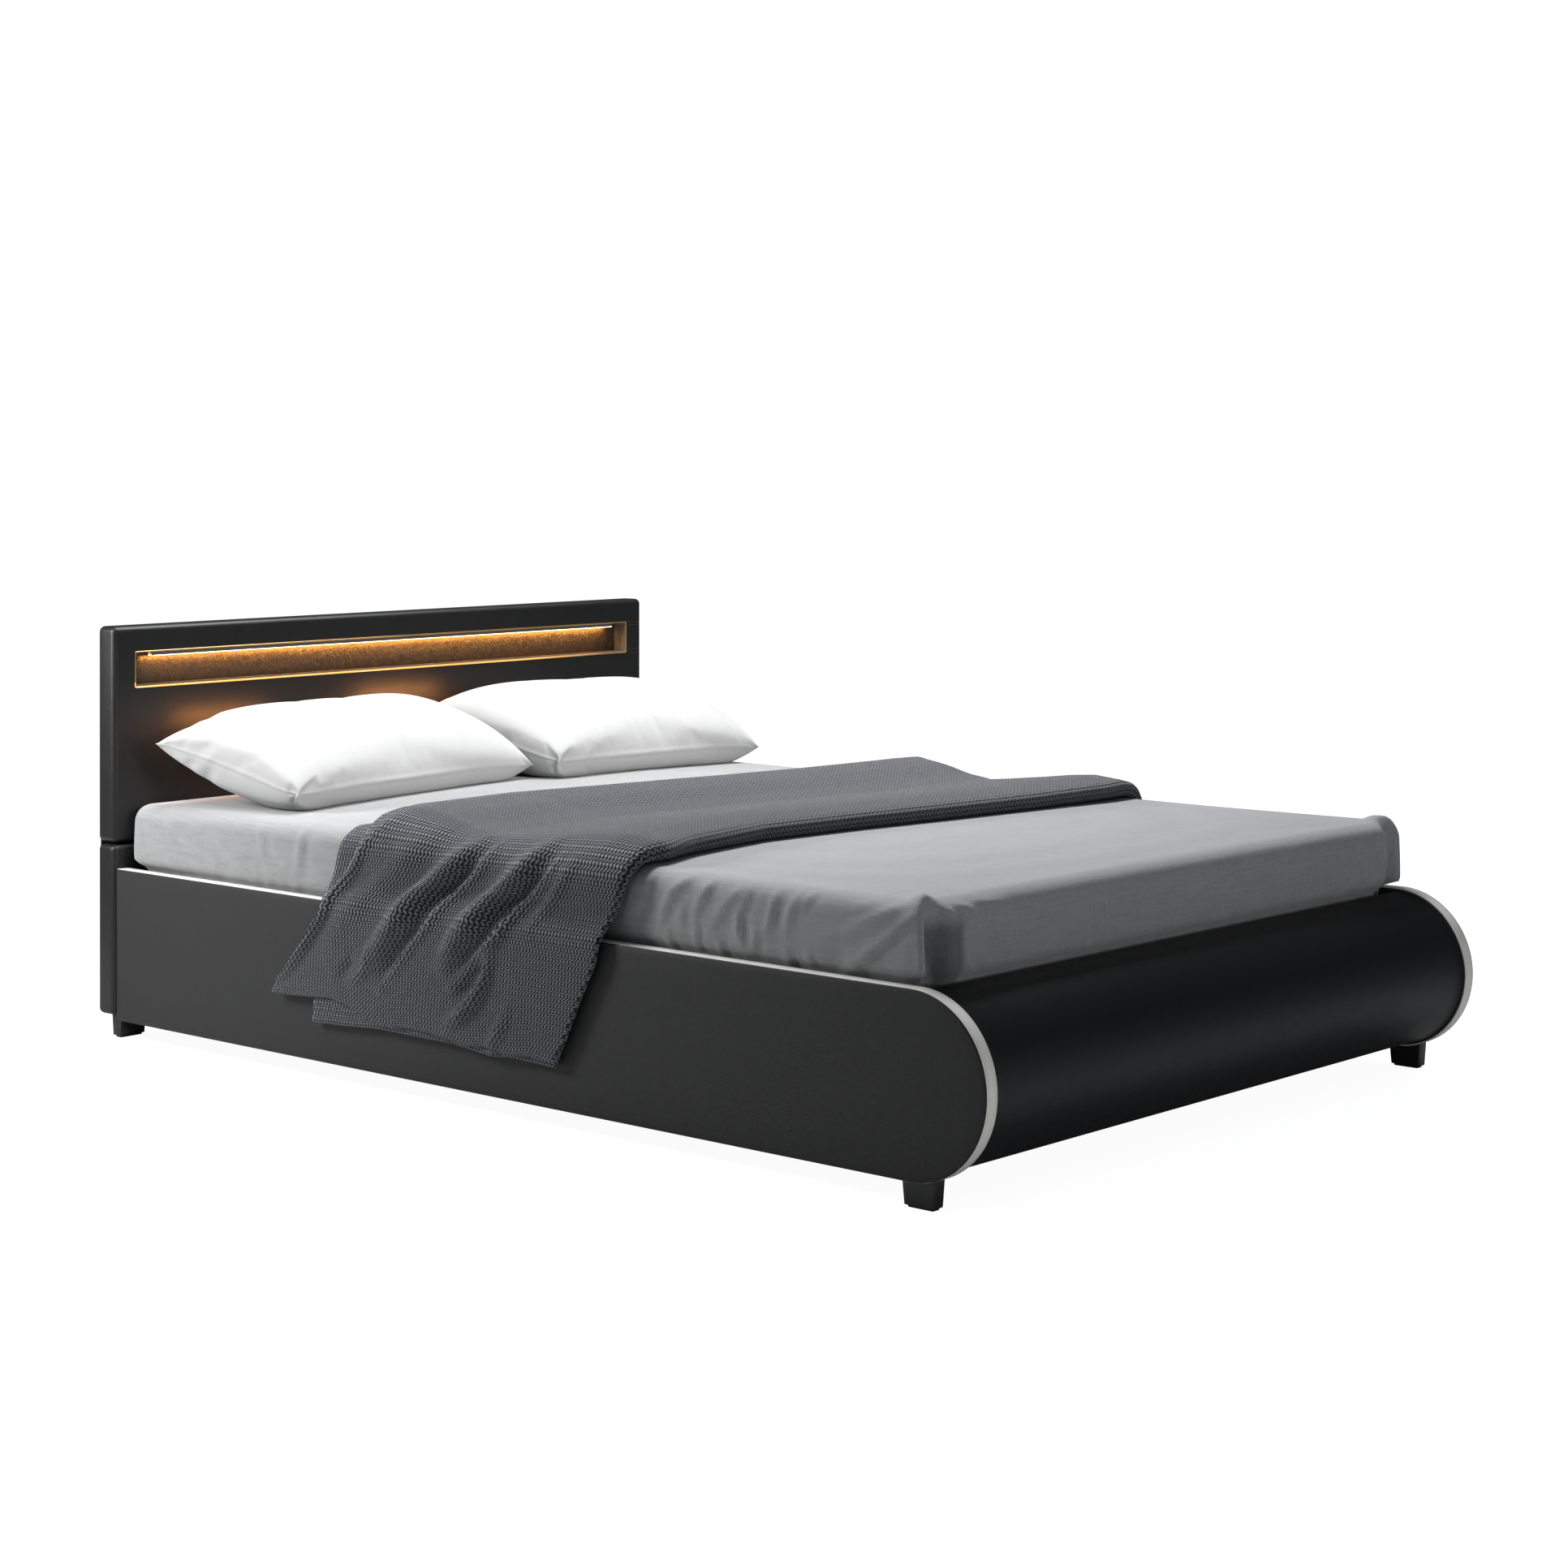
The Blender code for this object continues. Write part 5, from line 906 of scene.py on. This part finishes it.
def slip_grid(count_x, count_y):
    """A two-sided grid over a square from -1 to 1: an upper and a lower panel, and the rim that they share."""
    ticks = (np.linspace(-1, 1, count + 1) for count in (count_x, count_y))
    spots = np.stack(np.meshgrid(*ticks, indexing="ij"), -1)
    upper = np.arange(spots[..., 0].size).reshape(spots.shape[:2])
    inside = np.zeros_like(upper, bool)
    inside[1:-1, 1:-1] = True
    lower = upper.copy()
    lower[inside] = upper.size + np.arange(inside.sum())
    panel_side = np.concatenate([np.where(inside, 1.0, 0.0).ravel(), -np.ones(inside.sum())])
    faces = quads(upper) + quads(lower[:, ::-1])
    return np.concatenate([spots.reshape(-1, 2), spots[inside]]), panel_side, faces


def settle_filling(slip, reach):
    """Cotton a little larger than its filling, under an even pressure. No point moves further than reach."""
    before, _ = vertex_arrays(slip)
    step = slip.modifiers.new("filling", "CLOTH")
    cloth = step.settings
    cloth.quality, cloth.mass, cloth.air_damping = 6, 0.25, 3.0
    cloth.tension_stiffness = cloth.compression_stiffness = 18.0
    cloth.shear_stiffness, cloth.bending_stiffness = 6.0, 0.6
    cloth.use_pressure, cloth.uniform_pressure_force = True, 4.0
    cloth.shrink_min = -0.045
    cloth.effector_weights.gravity = 0.0
    frames = 20
    step.point_cache.frame_start, step.point_cache.frame_end = 1, frames
    for number in range(1, frames + 1):
        bpy.context.scene.frame_set(number)
    only(slip)
    bpy.ops.object.modifier_apply(modifier=step.name)
    after, _ = vertex_arrays(slip)
    bpy.context.scene.frame_set(1)
    moved = after - before
    moved -= moved.mean(axis=0)
    far = np.linalg.norm(moved, axis=1, keepdims=True)
    put_points(slip, before + moved * np.minimum(1, reach / np.maximum(far, 1e-6)))


surface = bmesh.new()
surface.from_mesh(sheet_obj.data)
sheet_tree = BVHTree.FromBMesh(surface)
surface.free()


def sheet_height(x, y):
    hit = sheet_tree.ray_cast(Vector((x, y, 1.0)), Vector((0, 0, -1)))[0]
    return hit.z if hit else mat_low.z


cotton = Finish("white_cotton", Specular_IOR_Level=0.2, Sheen_Weight=0.2, Sheen_Roughness=0.5)
place = cotton.place()
yarn, rumple = cotton.noise(place, 900.0), cotton.noise(place, 22.0, 4.0)
cotton.surface(yarn * 0.4 + rumple * 0.6, (0.345, 0.345, 0.342), (0.395, 0.395, 0.392),
               0.88 + (yarn - 0.5) * 0.08, yarn * 0.12 + rumple * 0.9, 0.0012)

pillow_dents = {"left": (-0.77, -0.60, -0.04, 0.17, 0.44, 0.76),
                "right": (-0.80, -0.35, -0.05, 0.16, 0.50, 0.70)}
for word, corners in pillow_corners.items():
    near_outer, near_inner, far_inner, far_outer = (np.array(corner) for corner in corners)
    spots, panel_side, faces = slip_grid(*(int(side / pillow_pitch) for side in (slip_length, slip_width)))
    s, t = np.sin(spots * np.pi / 2).T
    left_end = s if word == "left" else -s
    full = (1 - np.abs(s) ** end_square) ** 0.5 * (1 - np.abs(t) ** side_square) ** 0.5
    if word == "left":
        # The far outer corner is a flat ear behind a fold
        past = (t - 0.30) - 1.9 * (s + 1)
        ear = np.clip(past / 0.25, 0, 1)
        full = full * (1 - 0.12 * ear) - 0.08 * np.exp(-(past / 0.09) ** 2) * full
    across, along = s * (1 - end_drawn * (1 - t ** 2)), t * (1 - side_drawn * (1 - s ** 2))
    blunt = np.exp(-(((left_end + 1) / 0.16) ** 2 + ((t + 1) / 0.22) ** 2))
    across -= np.sign(across) * blunt_end * blunt
    along += blunt_side * blunt
    u, v = ((across + 1) / 2)[:, None], ((along + 1) / 2)[:, None]
    places = (near_outer * (1 - u) + near_inner * u) * (1 - v) + (far_outer * (1 - u) + far_inner * u) * v
    fill = panel_side * full
    from_row = t - dent_row
    for middle in pillow_dents[word]:
        beside = (s - middle - dent_slant * from_row) / dent_width
        fill -= (panel_side > 0) * dent_depth * np.exp(-beside ** 2 - (from_row / dent_reach) ** 2)
        fill += (panel_side > 0) * puff_height * np.exp(
            -(beside - puff_beside) ** 2 - (from_row / puff_reach) ** 2)
    places[:, 2] += mat_high.z - sink + np.where(fill > 0, pillow_top, pillow_under) * fill
    pillow = mesh_piece("pillow_slip_" + word, places, faces, cotton)
    settle_filling(pillow, most_moved)
    places, _ = vertex_arrays(pillow)
    rim = panel_side == 0
    outward = places - places.mean(axis=0)
    outward[:, 2] = 0
    outward /= np.linalg.norm(outward, axis=1)[:, None]
    places[rim] += outward[rim] * seam_out
    places[:, 1] = np.minimum(places[:, 1], headboard_y - clearance)
    rest = np.array([sheet_height(x, y) for x, y, _ in places]) + clearance
    places[:, 2] = np.maximum(places[:, 2], rest)
    put_points(pillow, places)
    modify(pillow, "SUBSURF", levels=1, render_levels=1)
    pillow.data.shade_smooth()
    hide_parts("pillow_" + word)
    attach(pillow, "platform")

# Throw
# One chunky knitted blanket is folded double along its length, with the fold towards the foot, and laid across
# the bed. The upper layer is set back from the lower one at the head side, and both hang over the rails in
# slanting folds.
hem_left, hem_right, side_hang_x, folded_width = 0.122, 0.150, 0.7565, 0.70
throw_pitch, layer = 0.0095, 0.0048
rest_z = mat_high.z + 0.0009
half_path = [(x, rest_z) for x in (0.0, 0.2115, 0.423, 0.578, 0.655)]
half_path += [(0.697, 0.4745), (0.7205, 0.452), (0.7262, 0.407), (0.7305, 0.3875), (0.7460, 0.3610)]
half_path += [(side_hang_x, z) for z in (0.3434, 0.2945, 0.2400, 0.1854)]
# The fold and the two hems, in millimetres: a place along the path from the middle, then one along the bed
table_foot = (-1063, -196, -1017, -222, -954, -253, -880, -293, -821, -308, -741, -330, -661, -348,
              -560, -318, -354, -294, -118, -315, 118, -347, 354, -371, 591, -379.5, 827, -355, 1050, -327)
table_lower = (-1063, 446, -840, 421, -760, 415, -709, 402, -661, 392, -591, 412, -354, 419.5, -118, 373,
               118, 330, 354, 292, 591, 271, 827, 265, 1050, 265)
table_upper = (-1063, 560, -1023, 541, -1000, 518, -936, 468, -872, 419, -817, 379, -735, 326, -661, 312,
               -591, 345, -354, 362, -118, 316, 118, 274, 354, 236, 591, 216, 827, 215, 1050, 220)
loft_shares = (0.15, 0.80, 1.00, 0.70, 0.26, 0.02, 0.16, 0.34, 0.52, 0.72, 0.84, 0.70)
loft, bulge_out, near_out, far_out, deepest_groove = 0.037, 0.0133, 0.008, 0.002, 0.009
# Folds of the near side: places along the bed and up
side_folds = (
    (10.2, 15.2, 278, 493, 326, 437, 379, 363, 419, 313, 468, 249, 518, 185, 541, 162),
    (25.5, 9.5, 155, 480, 231, 417, 291, 372, 352, 320, 392, 263),
    (18.7, 22.8, 39, 475, 113, 417, 188, 348, 244, 291, 274, 248),
    (13.6, -19, 18, 459, 80, 398, 146, 329, 205, 267, 244, 217),
    (10.2, 15.2, -10, 467, 31, 424, 96, 362, 163, 294, 214, 237, 252, 196),
    (18.7, 22.8, -145, 487, -82, 432, -18, 374, 43, 318, 80, 269),
    (13.6, -20.9, -165, 464, -114, 411, -50, 350, 6, 294, 47, 245),
    (11.05, 17.1, -180, 460, -129, 407, -66, 340, -18, 302, 22, 264, 55, 227),
    (11.9, 17.1, -46, 300, -30, 254, -2, 212, 39, 174, 71, 145), (17, -15.2, -18, 269, 31, 214),
    (11.9, 9.5, -230, 470, -176, 400, -137, 348), (10.2, 9.5, -90, 200, -66, 165, -42, 123),
    (10.2, 9.5, 274, 276, 291, 228, 326, 184), (10.2, -9.5, 326, 248, 361, 192),
)
# Heights of the near side's hems in millimetres: a place along the bed, then a height
hem_upper = (-200, 125, -140, 131, -90, 122, -30, 133, 20, 127, 96, 136, 171, 141, 220, 133, 248, 134,
             291, 145, 344, 161, 392, 169, 450, 164, 541, 160)
hem_lower = (-192, 118, -98, 121, -34, 117, 63, 126, 163, 126, 265, 127, 350, 121, 446, 117)


def even_curve(spots, step):
    """Places every step along a soft curve through the spots, with the way out at each."""
    spots = np.array(spots)
    run = np.concatenate([[0], np.cumsum(np.linalg.norm(np.diff(spots, axis=0), axis=1))])
    fine = np.linspace(0, run[-1], int(run[-1] / 0.001))
    curve = np.column_stack([np.interp(fine, run, spots[:, k]) for k in range(2)])
    reach = 16
    window = np.hanning(2 * reach + 3)[1:-1]
    window /= window.sum()
    wide = np.pad(curve, ((reach, reach), (0, 0)), "reflect", reflect_type="odd")
    curve = np.column_stack([np.convolve(wide[:, k], window, "valid") for k in range(2)])
    run = np.concatenate([[0], np.cumsum(np.linalg.norm(np.diff(curve, axis=0), axis=1))])
    even = np.linspace(0, run[-1], int(run[-1] / step) + 1)
    places = np.column_stack([np.interp(even, run, curve[:, k]) for k in range(2)])
    along = np.gradient(places, axis=0)
    along /= np.linalg.norm(along, axis=1)[:, None]
    return places, np.column_stack([-along[:, 1], along[:, 0]]), even


def read_table(table, places):
    where, values = np.reshape(table, (-1, 2)).T / 1000
    return np.interp(places, where, values)


left_path = [(-side_hang_x, hem_left)] + [(-x, z) for x, z in half_path[:0:-1]]
places, outward, run = even_curve(left_path + half_path + [(side_hang_x, hem_right)], throw_pitch)
from_middle = run - run[np.argmin(np.abs(places[:, 0]))]
lower_edge, upper_edge, foot_edge = (read_table(table, from_middle)
                                     for table in (table_lower, table_upper, table_foot))
hanging = np.clip((np.abs(from_middle) - 0.66) / 0.16, 0, 1)
columns, bend_steps = int(folded_width / throw_pitch), 7
shares = np.linspace(0, 1, columns + 1)
rows = []
for (x, z), (out_x, out_z), low_y, up_y, foot, hangs in zip(
        places, outward, lower_edge, upper_edge, foot_edge, hanging):
    y_low, y_up = low_y + (foot - low_y) * shares, up_y + (foot - up_y) * shares
    up_share = np.clip((low_y - y_up) / (low_y - foot), 0, 1)
    puff = loft * np.interp(up_share, np.linspace(0, 1, len(loft_shares)), loft_shares) * (1 - hangs)
    rise_up = layer * 1.15 + puff
    lay = np.column_stack([np.full_like(y_low, x), y_low, np.full_like(y_low, z)])
    top = np.column_stack([x + out_x * rise_up, y_up, z + out_z * rise_up])
    bend = []
    for step in range(1, bend_steps):
        angle = math.pi * step / bend_steps
        rise = rise_up[-1] / 2 * (1 - math.cos(angle))
        bend.append((x + out_x * rise, foot - rise_up[-1] / 2 * math.sin(angle) * 1.3, z + out_z * rise))
    rows.append(np.concatenate([lay, bend, top[::-1]]))
cloth_points = np.array(rows)
row_count, column_count = cloth_points.shape[:2]
points = cloth_points.reshape(-1, 3)
out_3d = np.repeat(np.insert(outward, 1, 0, axis=1), column_count, axis=0)
near = points[:, 0] < -0.62
hang_near = np.repeat(np.clip((-from_middle - 0.64) / 0.10, 0, 1), column_count)
hang_far = np.repeat(np.clip((from_middle - 0.66) / 0.15, 0, 1), column_count)
drape = np.zeros(len(points))
for width, height, line in fold_lines(side_folds):
    drape[near] += crease(points[near][:, 1:], line, width, height)
drape[near] *= hang_near[near]
drape += hang_far * (0.5 + 0.5 * wander(points[:, 1] + 0.6 * points[:, 2], 21, 0.09, 0.22, 7)) * bulge_out
drape = np.maximum(drape, -deepest_groove) + near_out * hang_near + far_out * hang_far
points = points + out_3d * drape[:, None]
upper_layer = np.tile(np.arange(column_count) > columns + bend_steps // 2, row_count)
low_share = np.clip((rail_high.z - points[:, 2]) / (rail_high.z - hem_left), 0, 1) ** 2
hem_z = np.where(upper_layer, read_table(hem_upper, points[:, 1]), read_table(hem_lower, points[:, 1]))
points[:, 2] += np.where(near, (hem_z - hem_left) * low_share, 0)
faces = quads(np.arange(row_count * column_count).reshape(row_count, column_count).T)
blanket = from_points("blanket_knitted", points, faces)
throw_mesh = blanket.data
steps = np.linalg.norm(np.diff(cloth_points, axis=1), axis=2)
width_run = np.concatenate([np.zeros((row_count, 1)), np.cumsum(steps, axis=1)], axis=1)
across_run = (width_run - width_run.max(axis=1, keepdims=True) / 2).ravel()
corner_index = np.empty(len(throw_mesh.loops), int)
throw_mesh.loops.foreach_get("vertex_index", corner_index)
laid_flat = np.column_stack([across_run, np.repeat(run, column_count)])
throw_mesh.uv_layers.new(name="knit").data.foreach_set("uv", laid_flat[corner_index].ravel())
throw_mesh.shade_smooth()
modify(blanket, "SOLIDIFY", thickness=layer, offset=0)

knit = Finish("blue_grey_knit", Specular_IOR_Level=0.15, Sheen_Weight=0.3, Sheen_Roughness=0.45)
threads = knit.node("ShaderNodeUVMap", {"uv_map": "knit"}, {})
wale, course = 0.0100, 0.0080
slope = abs((threads.part("Y") % wale) / wale - 0.5) * 2.0
stitch_place = ((threads.part("X") + slope * (wale * 0.45)) % course) / course
strand = 1.0 - abs(stitch_place - 0.5) * 2.0
stitches = (strand * 1.25).clipped() ** 1.2 * (1.0 - abs(slope - 0.5) * 2.0).clipped() ** 0.5
ply, tone = knit.noise(threads, 900.0, 3.0), knit.noise(threads, 6.0, 3.0)
# Painted shade: the gaps between the stitches are painted near black, for the shade in the knit's hollows; the
# stitches are blue grey
knit.surface((stitches * 2.4 - 0.52 + (ply - 0.5) * 0.3 + (tone - 0.5) * 0.3).clipped(),
             (0.004, 0.0043, 0.0055), (0.165, 0.173, 0.200),
             0.86 + (ply - 0.5) * 0.1, stitches * 0.85 + ply * 0.15, 0.0065)
knit.on(blanket)
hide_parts("throw")
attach(blanket, "platform")
